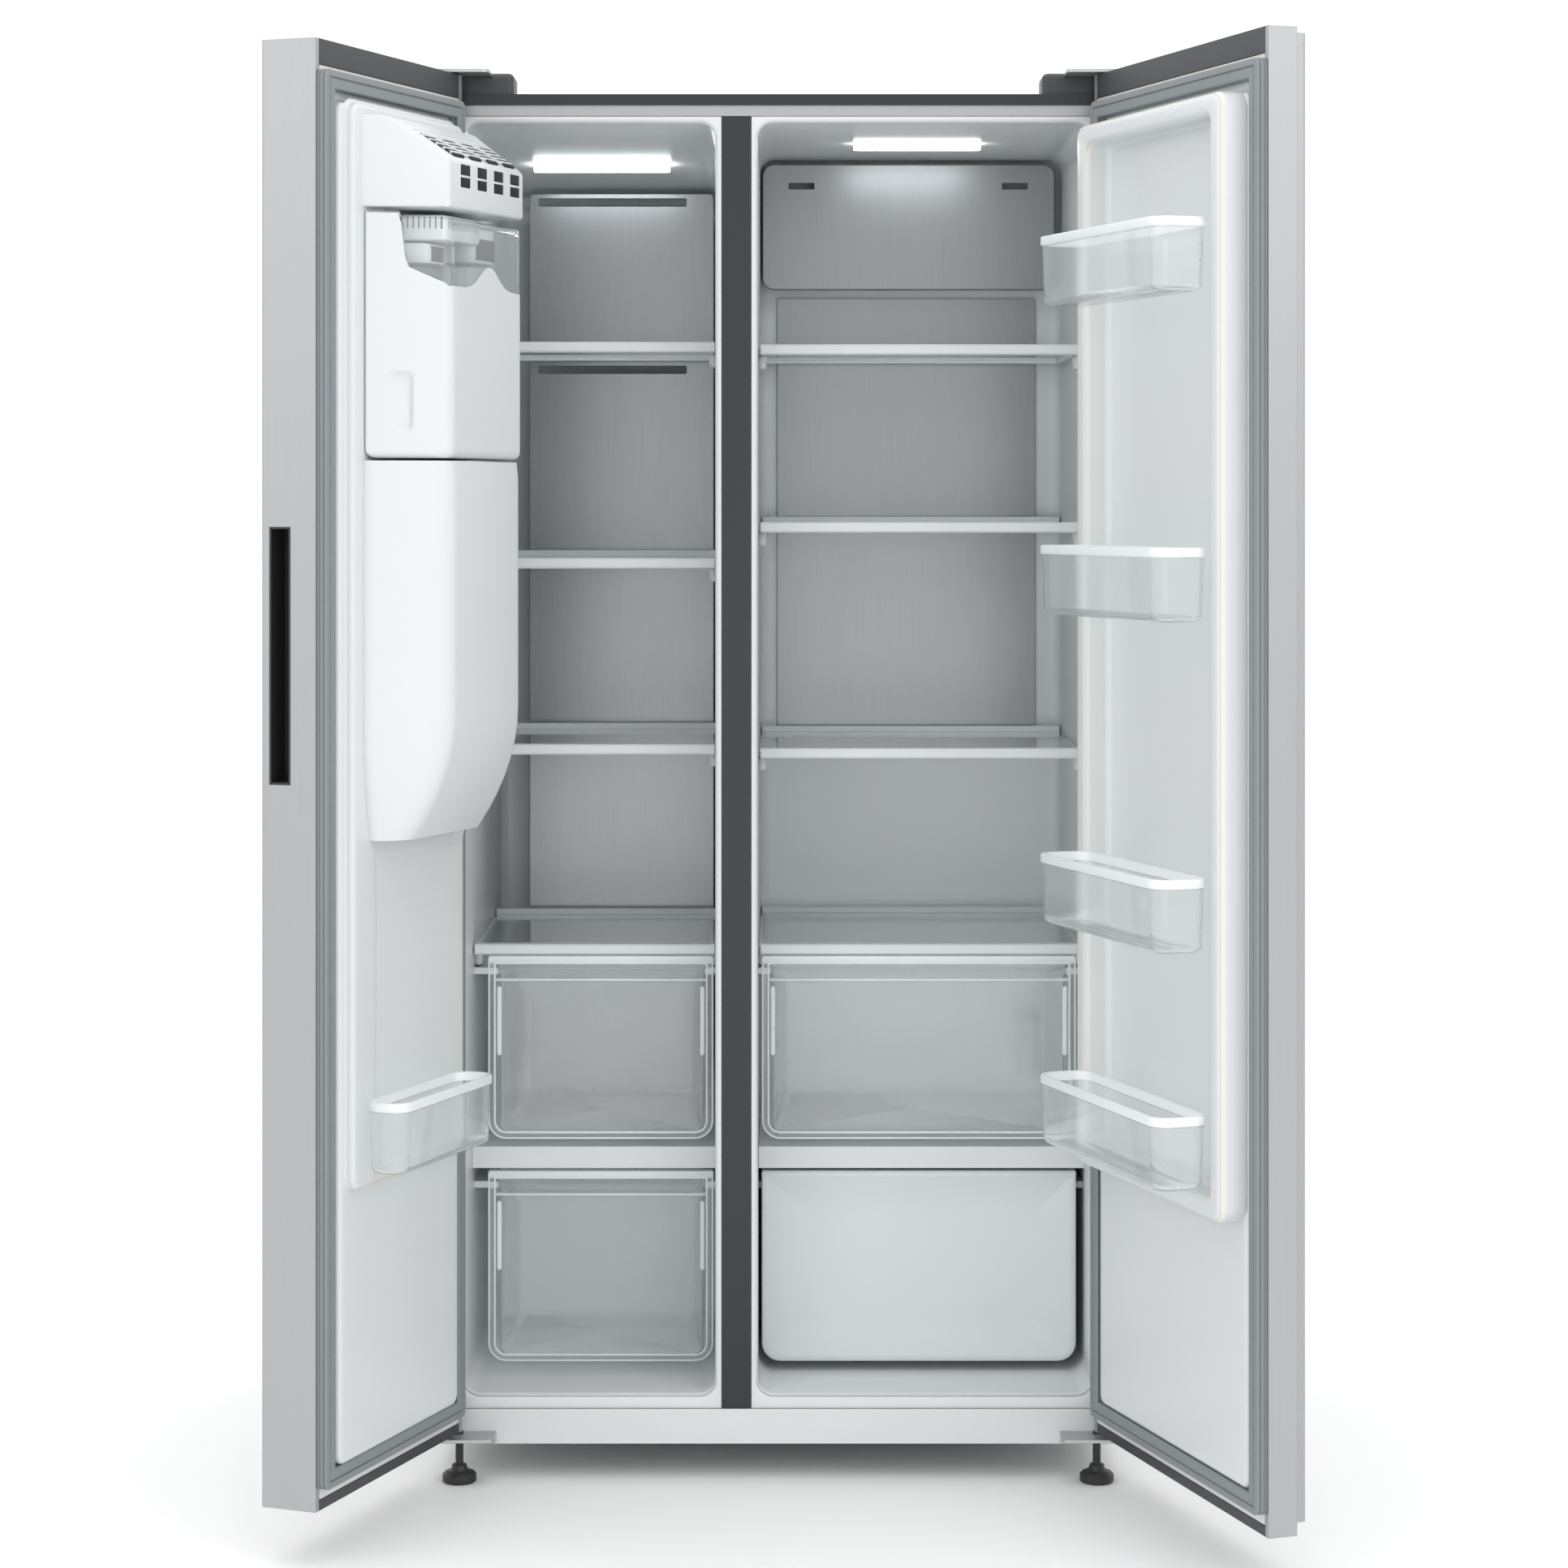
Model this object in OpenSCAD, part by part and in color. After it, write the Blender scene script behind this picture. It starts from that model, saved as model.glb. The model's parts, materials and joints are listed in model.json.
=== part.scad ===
// Side by side refrigerator: steel cabinet with a freezer on the left and a fridge on the right,
// two swinging doors, an ice maker in the freezer door, shelves, drawers and door bins.
// Millimetres, +Z up, floor at Z = 0. The doors are drawn standing open.

/* [Cabinet] */
// Outside width of the cabinet
cab_w = 880; // [800:5:1060]
// Depth of the cabinet behind its front plane
cab_d = 640; // [620:5:770]
// Height of the cabinet top above the floor
cab_top = 1760; // [1460:5:2110]
// Height of the cabinet underside above the floor
cab_low = 45; // [45:1:60]
// Thickness of the side walls
side_wall = 41; // [36:1:50]
// Thickness of the top wall at the front
top_wall = 36; // [30:1:44]
// Height of the cavity floor above the cabinet underside
floor_wall = 63; // [56:1:75]
// Distance of the divider's middle from the cabinet's middle
divider_off = 53; // [20:1:70]
// Thickness of the divider between the two cavities
divider_w = 54; // [50:1:64]
// Thickness of the freezer's rear wall
freezer_rear = 60; // [50:1:70]
// Thickness of the fridge's rear wall with its air duct
fridge_rear = 128; // [110:1:150]
// Thickness of the sheet steel
steel_t = 1; // [0.8:0.1:1.5]
// Thickness of the moulded liners
liner_t = 2.5; // [2:0.1:3]
// Corner radius of the cavities
cavity_r = 20; // [12:1:30]
// Fall of the freezer ceiling from front to back
ceiling_fall = 44; // [20:1:50]

/* [Machine compartment] */
// Height of the compartment
machine_h = 215; // [205:1:240]
// Depth of the compartment
machine_d = 190; // [180:1:200]
// Foam between the compartment and the cavities
machine_foam = 40; // [30:1:50]
// Thickness of the board under the compartment
board_t = 6; // [4:1:8]
// Thickness of the lining at the compartment's sides
lining_t = 12; // [8:1:16]

/* [Doors] */
// Thickness of a door
door_t = 72; // [66:1:80]
// Gap between a door and the cabinet, filled by the seal
seal_gap = 14; // [12:0.5:16]
// Distance of the hinge pin from the cabinet's side
pin_side = 16; // [14:1:20]
// Distance of the hinge pin in front of the cabinet
pin_front = 34; // [32:1:40]
// Radius of the hinge pins
pin_r = 5; // [4:0.5:6]
// Clearance between the two doors
door_gap = 5; // [4:0.5:8]
// Height of a door above the cabinet top
door_over = 21; // [18:1:24]
// Height of a door's lower edge above the cabinet underside
door_up = 22; // [20:1:26]
// Angle that the freezer door stands open
left_open = 110.8; // [95:0.1:120]
// Angle that the fridge door stands open
right_open = 108.6; // [95:0.1:120]
// Set back of the fridge door's front half, for the fingers
grip_back = 48; // [36:1:56]
// Height of the door liner's side ridges on the fridge door
ridge_h = 46; // [36:1:48]
// Width of a door seal
seal_w = 22; // [18:1:24]

/* [Inside] */
// Distance of shelf and drawer fronts behind the cabinet front
shelf_front = 115; // [112:1:130]
// Thickness of the shelf glass
glass_t = 4; // [3:0.5:5]
// Height of the lower drawers
low_drawer_h = 250; // [220:1:256]
// Height of the upper drawers
up_drawer_h = 240; // [200:1:243]
// Thickness of drawer and bin walls
bin_t = 2.5; // [2:0.1:3.5]
// Height of a door bin
bin_h = 85; // [70:1:110]
// Reach of the fridge door bins from the hinge axis
bin_reach = 138; // [120:1:140]
// Reach of the ice maker from the hinge axis
ice_reach = 137; // [120:1:138]
// Lean of the ice maker's free side over its reach
ice_lean = 52; // [0:1:60]

/* [Feet and rollers] */
// Radius of a levelling foot
foot_r = 21.5; // [18:0.5:25]
// Radius of a rear roller
roller_r = 20; // [18:0.5:22]
// Radius of the water inlet thread
water_r = 13.2; // [10:0.1:13.5]

/* [Hidden] */
$fn = 48;

fit = 0.05;               // radial clearance of a pin that turns in its bore
gap = 0.5;                // clearance between pieces that move past each other
foam_joint = 0.4;         // joint between two foam blocks
trim_drop = 8;            // how far a shelf trim hangs below its glass
eps = 0.5;                // overrun of a cutting solid
half_w = cab_w / 2;
origin_back = 79;         // the origin is this far behind the cabinet's front plane
pin_x = half_w - pin_side;
pin_y = -pin_front;

// cavities, each as [low, high] along X
freezer_x = [side_wall - half_w, -divider_off - divider_w / 2];
fridge_x = [divider_w / 2 - divider_off, half_w - side_wall];
ceiling = cab_top - top_wall;
floor_z = cab_low + floor_wall;
freezer_back = cab_d - freezer_rear;
fridge_back = cab_d - fridge_rear;
step_y = cab_d - machine_d - machine_foam;
step_z = cab_low + machine_h + machine_foam;
flange_w = 8;             // liner flange seen around each cavity
rail_h = 14;              // dark rail along the cabinet's front top edge
base_h = 44;              // base panel under the cavities

// doors: X runs from the pin to the free edge, Y inwards from the pin
door_in = pin_front - seal_gap;
door_out = door_in - door_t;
door_low = cab_low + door_up;
door_high = cab_top + door_over;
left_w = pin_x - divider_off - door_gap / 2 + 1;
right_w = pin_x + divider_off - door_gap / 2 - 1;
door_side = -pin_side;
grip_in = door_in - door_t / 2;
corner_r = 4;             // bend radius of a door's front edges
lip_w = 8;                // edge of the skin folded onto the inner face
rim_t = 2;                // thickness of a door liner's flat rim
cap_top_h = 30;
cap_low_h = 12;
seal_z = [cab_low + base_h + 3, cab_top - rail_h - 1];
seal_h = seal_gap - 0.4;
inner_z = [floor_z + 6, ceiling - 14];    // the part of a door that enters its cavity

// drawers: each [low, high] in Z
low_drawer_z = [floor_z + 12, floor_z + 12 + low_drawer_h];
beam_z = [low_drawer_z[1] + 4, low_drawer_z[1] + 32];
up_drawer_z = [beam_z[1] + 8, beam_z[1] + 8 + up_drawer_h];
cover_z = up_drawer_z[1] + 9;
freezer_drawer_x = [freezer_x[0] + 20, freezer_x[1] - 4];
fridge_drawer_x = [fridge_x[0] + 4, fridge_x[1] - 10];
drawer_lip = 12;          // width of the lip that runs on the rails
drawer_lip_h = 18;
tub_r = 6;                // corner radius of a drawer's tub
low_drawer_d = step_y - shelf_front - 12;
up_drawer_d = freezer_back - freezer_rear - shelf_front - 40;

// shelves stand at these shares of the height above the drawer covers
freezer_shares = [0.245, 0.473, 0.738];
fridge_shares = [0.24, 0.517, 0.735];
freezer_panel_y = freezer_back - 88;
freezer_panel_top = ceiling - ceiling_fall - 3;
vent_h = 11.5;            // height of the air vents in the freezer's back panel
shelf_rear = 12;          // room behind a shelf's glass
freezer_shelf_d = freezer_panel_y - shelf_front - shelf_rear;
fridge_shelf_d = fridge_back - shelf_front - shelf_rear;
function shelf_z(share) = cover_z + share * (ceiling - cover_z);

// freezer door fittings
ice_x = [52, left_w - 62];
housing_z = [door_high - 192, door_high - 84];
bucket_z = [door_high - 488, door_high - 195];
duct_z = [door_high - 940, door_high - 491];
left_liner_h = 25;        // height of the freezer door's inner form
dispenser_x = [left_w / 2 - 95, left_w / 2 + 85];
dispenser_z = [door_high - 821, door_high - 446];
panel_h = 80;
dispenser_deep = door_in - 8;
paddle_pivot = [-18, dispenser_z[1] - panel_h - 18];
handle_z = [door_high - 870, door_high - 569];
handle_y = [door_out + 11, door_out + 39];
handle_deep = 36;

// fridge door fittings
ridge_x = [28, right_w - 32];
ridge_z = [floor_z + 310, ceiling - 14];
ridge_in = [ridge_x[0] + 32, ridge_x[1] - 30];
bin_x = [70, right_w - 49];
bin_shares = [0.008, 0.245, 0.576, 0.907];
function bin_low(share) = ridge_z[0] + 28 + share * (ridge_z[1] - ridge_z[0] - 150);

foot_pos = [pin_x - 20, -12.5];
roller_pos = [half_w - 60, cab_d - 80];

// ---- plain solids, each range as [low, high] ----

module box(x, y, z)
    translate([x[0], y[0], z[0]])
        cube([x[1] - x[0], y[1] - y[0], z[1] - z[0]]);

module rounded(a, b, r) {
    translate([a[0] + r, b[0]])
        square([a[1] - a[0] - 2 * r, b[1] - b[0]]);
    translate([a[0], b[0] + r])
        square([a[1] - a[0], b[1] - b[0] - 2 * r]);
    for (i = [0, 1], j = [0, 1])
        translate([a[i] + (1 - 2 * i) * r, b[j] + (1 - 2 * j) * r])
            circle(r);
}

module slab_y(x, y, z, r)
    translate([0, y[1], 0])
        rotate([90, 0, 0])
            linear_extrude(y[1] - y[0])
                rounded(x, z, r);

module slab_z(x, y, z, r)
    translate([0, 0, z[0]])
        linear_extrude(z[1] - z[0])
            rounded(x, y, r);

// a Y-Z outline carried along X
module along_x(x, points)
    translate([x[0], 0, 0])
        rotate([90, 0, 90])
            linear_extrude(x[1] - x[0])
                polygon(points);

module rod_x(x, y, z, r)
    translate([x[0], y, z])
        rotate([0, 90, 0])
            cylinder(h = x[1] - x[0], r = r);

module rod_y(x, y, z, r)
    translate([x, y[1], z])
        rotate([90, 0, 0])
            cylinder(h = y[1] - y[0], r = r);

function grow(range, by) = [range[0] - by, range[1] + by];
function middle(range) = (range[0] + range[1]) / 2;

// ---- frames: the cabinet, and each door turned about its pin ----

module in_cabinet()
    translate([0, -origin_back, 0])
        children();

module both_sides() {
    children();
    mirror([1, 0, 0])
        children();
}

module on_left_door()
    in_cabinet()
        translate([-pin_x, pin_y, 0])
            rotate([0, 0, -left_open])
                children();

module on_right_door()
    in_cabinet()
        mirror([1, 0, 0])
            translate([-pin_x, pin_y, 0])
                rotate([0, 0, -right_open])
                    children();

// ---- cabinet ----

// inside of a cavity, grown outwards by a wall: the floor steps up over the machine compartment
module cavity(x, back, fall, wall)
    intersection() {
        slab_y(grow(x, wall), [-eps, back + wall], [floor_z - wall, ceiling + wall],
            cavity_r + wall);
        along_x(grow(x, wall + eps), cavity_outline(back, fall, wall));
    }

module machine_room()
    box(grow([-half_w, half_w], -lining_t), [cab_d - machine_d, cab_d + eps],
        [cab_low + board_t, cab_low + machine_h]);

module liner(x, back, fall)
    difference() {
        union() {
            cavity(x, back, fall, liner_t);
            box(grow(x, flange_w), [0, liner_t],
                [cab_low + base_h + gap, ceiling + flange_w]);
        }
        cavity(x, back, fall, 0);
        box(grow(x, flange_w), [-2 * eps, 0], [0, cab_top]);
    }

module cabinet_shell() in_cabinet() color("silver")
    difference() {
        box([-half_w, half_w], [0, cab_d], [cab_low, cab_top]);
        box(grow([-half_w, half_w], -steel_t), [steel_t, cab_d - steel_t],
            [cab_low + steel_t, cab_top - steel_t]);
        box([freezer_x[0] - flange_w - gap, fridge_x[1] + flange_w + gap], [-eps, 2 * steel_t],
            [cab_low + base_h, ceiling + flange_w + gap]);
        box(grow([-half_w, half_w], -30), [cab_d - 2 * steel_t, cab_d + eps],
            [cab_low + 12, cab_low + machine_h]);
    }

// outline of a cavity seen from the side, grown by a wall
function cavity_outline(back, fall, wall) = [
    [-2 * eps, floor_z - wall], [step_y + wall, floor_z - wall],
    [step_y + wall, step_z - wall], [back + wall + eps, step_z - wall],
    [back + wall + eps, ceiling + wall - fall], [-2 * eps, ceiling + wall]];

// a cavity with square corners, as the foam blocks leave it
module foam_hollow(x, back, fall)
    intersection() {
        along_x(grow(x, liner_t), cavity_outline(back, fall, liner_t));
        box([-half_w, half_w], [-2 * eps, back + liner_t], [0, cab_top]);
    }

// joints between the foam blocks: along the cavity's sides, its back and the step in its floor
module foam_joints(x, back) {
    low = cab_low + machine_h;
    for (side = [x[0] - liner_t - foam_joint, x[1] + liner_t]) {
        box([side, side + foam_joint], [0, cab_d], [low, cab_top]);
        box([side, side + foam_joint], [0, cab_d - machine_d], [cab_low, low]);
    }
    box(grow(x, liner_t), [back + liner_t, back + liner_t + foam_joint], [low, cab_top]);
    box(grow(x, liner_t), [step_y + liner_t, step_y + liner_t + foam_joint], [cab_low, low]);
}

module insulation() in_cabinet() color("khaki")
    difference() {
        box(grow([-half_w, half_w], -steel_t), [liner_t, cab_d - steel_t],
            [cab_low + steel_t, cab_top - steel_t]);
        foam_hollow(freezer_x, freezer_back, ceiling_fall);
        foam_hollow(fridge_x, fridge_back, 0);
        machine_room();
        foam_joints(freezer_x, freezer_back);
        foam_joints(fridge_x, fridge_back);
        box([-half_w, half_w], [0, cab_d],
            [cab_low + machine_h, cab_low + machine_h + foam_joint]);
        box([-half_w, half_w], [cab_d - machine_d - foam_joint, cab_d - machine_d],
            [cab_low, cab_low + machine_h]);
        box([-half_w, half_w], [cab_d - machine_d, cab_d],
            [cab_low + board_t - foam_joint, cab_low + board_t]);
    }

module freezer_liner() in_cabinet() color("white")
    liner(freezer_x, freezer_back, ceiling_fall);

module fridge_liner() in_cabinet() color("white")
    liner(fridge_x, fridge_back, 0);

module top_rail() in_cabinet() color("dimgray")
    difference() {
        box([-half_w, half_w], [-3, 0], [cab_top - rail_h, cab_top]);
        box(grow([-half_w, half_w], -3), [-1.5, eps], [cab_top - rail_h - eps, cab_top - 3]);
    }

module mullion_cover() in_cabinet() color("gray")
    box([freezer_x[1] + flange_w + gap, fridge_x[0] - flange_w - gap], [0, liner_t],
        [cab_low + base_h + gap, ceiling + flange_w]);

module base_panel() in_cabinet() color("lightgray")
    box([-half_w, half_w], [-2, 0], [cab_low, cab_low + base_h]);

module machine_cover() in_cabinet() color("darkgray")
    difference() {
        box(grow([-half_w, half_w], -20), [cab_d, cab_d + 1.2],
            [cab_low + 4, cab_low + machine_h + 8]);
        for (i = [-9:9], j = [0:4])
            box([i * 34 - 12, i * 34 + 12], [cab_d - eps, cab_d + 2],
                [cab_low + 60 + j * 26, cab_low + 66 + j * 26]);
        rod_y(half_w - 95, [cab_d - eps, cab_d + 2], cab_low + 30, water_r + 2);
        rod_y(-half_w + 95, [cab_d - eps, cab_d + 2], cab_low + 30, 9);
    }

module compressor() in_cabinet() color("black")
    translate([-half_w * 0.5, cab_d - machine_d / 2, cab_low + board_t]) {
        translate([0, 0, 24])
            rotate_extrude()
                polygon(concat(
                    [[0, 0], [52, 0]],
                    [for (a = [0:15:75]) [66 + 6 * sin(a), 14 - 14 * cos(a)]],
                    [[72, 20], [72, 104]],
                    [for (a = [15:15:90]) [72 * cos(a), 104 + 42 * sin(a)]]));
        difference() {
            box([-84, 84], [-70, 70], [20, 24]);
            for (i = [-1, 1], j = [-1, 1])
                translate([i * 72, j * 58, 0])
                    cylinder(h = 40, r = 4);
        }
        for (i = [-1, 1], j = [-1, 1])
            translate([i * 72, j * 58, 0])
                difference() {
                    cylinder(h = 20, r = 11);
                    translate([0, 0, 4])
                        cylinder(h = 20, r = 4);
                }
        translate([74, 0, 84])
            box([-4, 22], [-24, 24], [-26, 26]);
    }

module fan_rotor(r, thick, shaft_r, shaft_l) {
    cylinder(h = thick, r = r * 0.3);
    for (k = [0:4])
        rotate([0, 0, 72 * k])
            translate([r * 0.26, 0, thick / 2])
                rotate([32, 0, 0])
                    box([0, r * 0.72], [-r * 0.26, r * 0.26], [-1, 1]);
    translate([0, 0, thick])
        cylinder(h = shaft_l, r = shaft_r);
}

condenser_x = half_w * 0.28;
fan_x = condenser_x - 70;
fan_z = cab_low + machine_h / 2;
fan_y = cab_d - machine_d / 2;
fan_shaft = 3;
freezer_fan = [middle(freezer_x), freezer_back - 66, shelf_z(0.66)];

module condenser_fan() in_cabinet() color("black")
    translate([fan_x, fan_y, fan_z])
        rotate([0, -90, 0])
            fan_rotor(74, 16, fan_shaft, 20);

module condenser() in_cabinet() color("dimgray") {
    for (k = [0:9])
        box([condenser_x + k * 13, condenser_x + k * 13 + 1.2], [fan_y - 62, fan_y + 62],
            [cab_low + 24, cab_low + machine_h - 24]);
    for (k = [0:3])
        rod_x([condenser_x - 6, condenser_x + 124], fan_y - 42 + k * 28, cab_low + 60, 3);
    for (k = [0:3])
        rod_x([condenser_x - 6, condenser_x + 124], fan_y - 42 + k * 28, cab_low + 150, 3);
    for (y = [fan_y - 68, fan_y + 62])
        box([condenser_x - 4, condenser_x + 124], [y, y + 6],
            [cab_low + board_t, cab_low + machine_h - 24]);
    difference() {
        union() {
            rod_x([fan_x - 60, fan_x - 20], fan_y, fan_z, 22);
            box([fan_x - 52, fan_x - 44], [fan_y - 14, fan_y + 14],
                [cab_low + board_t, fan_z - 16]);
        }
        rod_x([fan_x - 40, fan_x - 10], fan_y, fan_z, fan_shaft + fit);
    }
}

module evaporator_fan() in_cabinet() color("black")
    translate(freezer_fan)
        rotate([-90, 0, 0])
            fan_rotor(48, 14, fan_shaft, 14);

module evaporator() in_cabinet() color("silver") {
    for (k = [0:13])
        box([freezer_x[0] + 60 + k * 15, freezer_x[0] + 61 + k * 15],
            [freezer_back - 66, freezer_back - 14], [step_z + 40, shelf_z(0.4)]);
    for (j = [0:4])
        rod_x([freezer_x[0] + 52, freezer_x[0] + 264], freezer_back - 52 + 12 * (j % 2) * 2,
            step_z + 80 + j * 70, 4);
    difference() {
        union() {
            rod_y(freezer_fan[0], [freezer_fan[1] + 18, freezer_fan[1] + 50], freezer_fan[2], 18);
            box([freezer_fan[0] - 60, freezer_fan[0] + 60],
                [freezer_fan[1] + 50, freezer_fan[1] + 54],
                [freezer_fan[2] - 12, freezer_fan[2] + 12]);
        }
        rod_y(freezer_fan[0], [freezer_fan[1], freezer_fan[1] + 34], freezer_fan[2],
            fan_shaft + fit);
    }
}

module freezer_back_panel() in_cabinet() color("darkgray")
    difference() {
        slab_y([freezer_x[0] + 48, freezer_x[1] - 12], [freezer_panel_y, freezer_panel_y + 4],
            [beam_z[1] + 12, freezer_panel_top], 6);
        for (top = [freezer_panel_top - 6, shelf_z(freezer_shares[2]) - trim_drop - 2])
            slab_y([freezer_x[0] + 60, freezer_x[1] - 50], [freezer_panel_y - eps, freezer_panel_y + 5],
                [top - vent_h, top], 2);
    }

module fridge_air_panel() in_cabinet() color("darkgray")
    difference() {
        slab_y([fridge_x[0] + 4, fridge_x[1] - 12], [fridge_back - 40, fridge_back - gap],
            [ceiling - 182, ceiling - 8], 16);
        box([fridge_x[0] + 8, fridge_x[1] - 16], [fridge_back - 36, fridge_back],
            [ceiling - 178, ceiling - 14]);
        for (side = [0, 1])
            box([fridge_x[0] + 40 + side * 300, fridge_x[0] + 76 + side * 300],
                [fridge_back - 41, fridge_back - 30], [ceiling - 42, ceiling - 33]);
    }

module fridge_back_panel() in_cabinet() color("darkgray")
    slab_y([fridge_x[0] + 24, fridge_x[1] - 36], [fridge_back - 5, fridge_back - gap],
        [shelf_z(fridge_shares[0]) + 12, ceiling - 194], 4);

freezer_lamp_z = ceiling - 1 - ceiling_fall * 318 / freezer_back;

module cavity_lamps() in_cabinet() color("ivory") {
    slab_z(grow([middle(freezer_x), middle(freezer_x)], 92), [290, 318],
        [freezer_lamp_z - 8, freezer_lamp_z], 6);
    slab_z(grow([middle(fridge_x), middle(fridge_x)], 85), [242, 272],
        [ceiling - 8, ceiling - gap], 6);
}

// a glass plate with its front and rear trims
module shelf_plate(x, z, depth)
    box(grow(x, -5), [shelf_front + 6, shelf_front + depth], [z, z + glass_t]);

module shelf_trim(x, z, depth) {
    difference() {
        slab_y_edge(grow(x, -3), [shelf_front, shelf_front + 18], [z - trim_drop, z + glass_t + 2]);
        box(grow(x, -5), [shelf_front + 6, shelf_front + 19], [z, z + glass_t]);
    }
    difference() {
        box(grow(x, -3), [shelf_front + depth - 12, shelf_front + depth + 4],
            [z - 4, z + glass_t + 8]);
        box(grow(x, -5), [shelf_front + depth - 13, shelf_front + depth], [z, z + glass_t]);
    }
    for (side = [0, 1])
        box([x[side] + (side == 0 ? 0.3 : -8.3), x[side] + (side == 0 ? 8.3 : -0.3)],
            [shelf_front + 18 + gap, shelf_front + depth - 12 - gap], [z - 6, z]);
}

// a trim bar with a rounded front
module slab_y_edge(x, y, z)
    translate([x[0], 0, 0])
        rotate([90, 0, 90])
            linear_extrude(x[1] - x[0]) {
                translate([y[0] + 4, z[0]])
                    square([y[1] - y[0] - 4, z[1] - z[0]]);
                translate([y[0], z[0] + 4])
                    square([y[1] - y[0], z[1] - z[0] - 8]);
                for (z0 = [z[0] + 4, z[1] - 4])
                    translate([y[0] + 4, z0])
                        circle(4);
            }

function shelf_heights(shares) = concat([for (s = shares) shelf_z(s)], [cover_z]);

module freezer_shelf_glass() in_cabinet() color("lightcyan")
    for (z = shelf_heights(freezer_shares))
        shelf_plate(freezer_x, z, freezer_shelf_d);

module freezer_shelf_trims() in_cabinet() color("white") {
    for (z = shelf_heights(freezer_shares))
        shelf_trim(freezer_x, z, freezer_shelf_d);
    drawer_beam(freezer_x, freezer_shelf_d);
}

module fridge_shelf_glass() in_cabinet() color("lightcyan")
    for (z = shelf_heights(fridge_shares))
        shelf_plate(fridge_x, z, fridge_shelf_d);

module fridge_shelf_trims() in_cabinet() color("white") {
    for (z = shelf_heights(fridge_shares))
        shelf_trim(fridge_x, z, fridge_shelf_d);
    drawer_beam(fridge_x, fridge_shelf_d);
}

// the deck between the two drawers, with its deep front edge
module drawer_beam(x, depth)
    difference() {
        box(grow(x, -gap), [shelf_front - 4, shelf_front + depth], beam_z);
        box(grow(x, -8), [shelf_front + 4, shelf_front + depth + 1], [beam_z[0] - 1, beam_z[1] - 6]);
    }

// ---- drawers and their rails ----

module rails(x, drawer_x, z, depth)
    for (side = [0, 1])
        box(side == 0 ? [x[0] + 0.2, drawer_x[0] + drawer_lip - 2]
                : [drawer_x[1] - drawer_lip + 2, x[1] - 0.2],
            [shelf_front + 24, shelf_front + depth], [z[1] - drawer_lip_h - 9, z[1] - drawer_lip_h - gap]);

module drawer_rails() in_cabinet() color("white") {
    rails(freezer_x, freezer_drawer_x, low_drawer_z, low_drawer_d);
    rails(freezer_x, freezer_drawer_x, up_drawer_z, up_drawer_d);
    rails(fridge_x, fridge_drawer_x, low_drawer_z, low_drawer_d);
    rails(fridge_x, fridge_drawer_x, up_drawer_z, up_drawer_d);
}

// an open tub with a wide lip and a deep front
module drawer(x, z, depth)
    difference() {
        union() {
            slab_z(grow(x, -drawer_lip), [shelf_front + 8, shelf_front + depth], z, tub_r);
            slab_z(x, [shelf_front, shelf_front + depth + 4], [z[1] - drawer_lip_h, z[1]], 8);
            slab_y(x, [shelf_front, shelf_front + 12], z, 12);
        }
        slab_z(grow(x, -drawer_lip - bin_t), [shelf_front + 12 + bin_t, shelf_front + depth - bin_t],
            [z[0] + bin_t, z[1] + eps], tub_r - bin_t);
        for (side = [-1, 1])
            translate([middle(x) + side * ((x[1] - x[0]) / 2 - 5), shelf_front - eps, z[1] - 90])
                cube([3, 5, 60], center = true);
    }

module freezer_drawer_upper() in_cabinet() color("azure")
    drawer(freezer_drawer_x, up_drawer_z, up_drawer_d);

module freezer_drawer_lower() in_cabinet() color("azure")
    drawer(freezer_drawer_x, low_drawer_z, low_drawer_d);

module crisper_drawer() in_cabinet() color("azure")
    drawer(fridge_drawer_x, up_drawer_z, up_drawer_d);

module chill_drawer() in_cabinet() color("lightgray")
    drawer(fridge_drawer_x, low_drawer_z, low_drawer_d);

// ---- hinges, feet and rollers ----

hinge_top_z = [door_high + 2, door_high + 6];
hinge_low_z = [door_low - 10, door_low - 6];
pin_up = 18;              // length of a pin inside its door
cover_h = 9;              // height of a hinge cover above the door

module top_hinge()
    translate([-pin_x, 0, 0])
        difference() {
            union() {
                slab_z([-11, 60], [pin_y - 11, 62], hinge_top_z, 10);
                box([-8, 60], [6, 62], [cab_top, hinge_top_z[1]]);
                translate([0, pin_y, door_high - pin_up])
                    cylinder(h = pin_up + 4, r = pin_r);
            }
            for (x = [10, 44])
                translate([x, 46, cab_top - eps])
                    cylinder(h = 60, r = 3);
        }

module top_hinges() in_cabinet() color("dimgray")
    both_sides()
        top_hinge();

module hinge_covers() in_cabinet() color("dimgray")
    both_sides()
        translate([-pin_x, 0, 0])
            difference() {
                slab_z([-15, 88], [2, 68], [cab_top, door_high + cover_h], 8);
                box([-12, 61], [1, 63], [cab_top - eps, hinge_top_z[1] + gap]);
                box([64, 84], [6, 64], [cab_top - eps, door_high + cover_h - 3]);
            }

module bottom_hinge()
    translate([-pin_x, 0, 0])
        difference() {
            union() {
                slab_z([-12, 66], [pin_y - 12, -2.2], hinge_low_z, 9);
                box([-12, 66], [-5.2, -2.2], [cab_low + 1, hinge_low_z[1]]);
                translate([0, pin_y, hinge_low_z[0]])
                    cylinder(h = door_low + pin_up - hinge_low_z[0], r = pin_r);
                translate([0, pin_y, hinge_low_z[1]])
                    cylinder(h = 4, r = pin_r + 5);
            }
            translate([pin_x - foot_pos[0], foot_pos[1], 0])
                cylinder(h = door_low, r = 5 + fit);
            for (x = [40, 58])
                rod_y(x, [-6, 0], cab_low + 6, 2.2);
        }

module bottom_hinges() in_cabinet() color("silver")
    both_sides()
        bottom_hinge();

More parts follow.
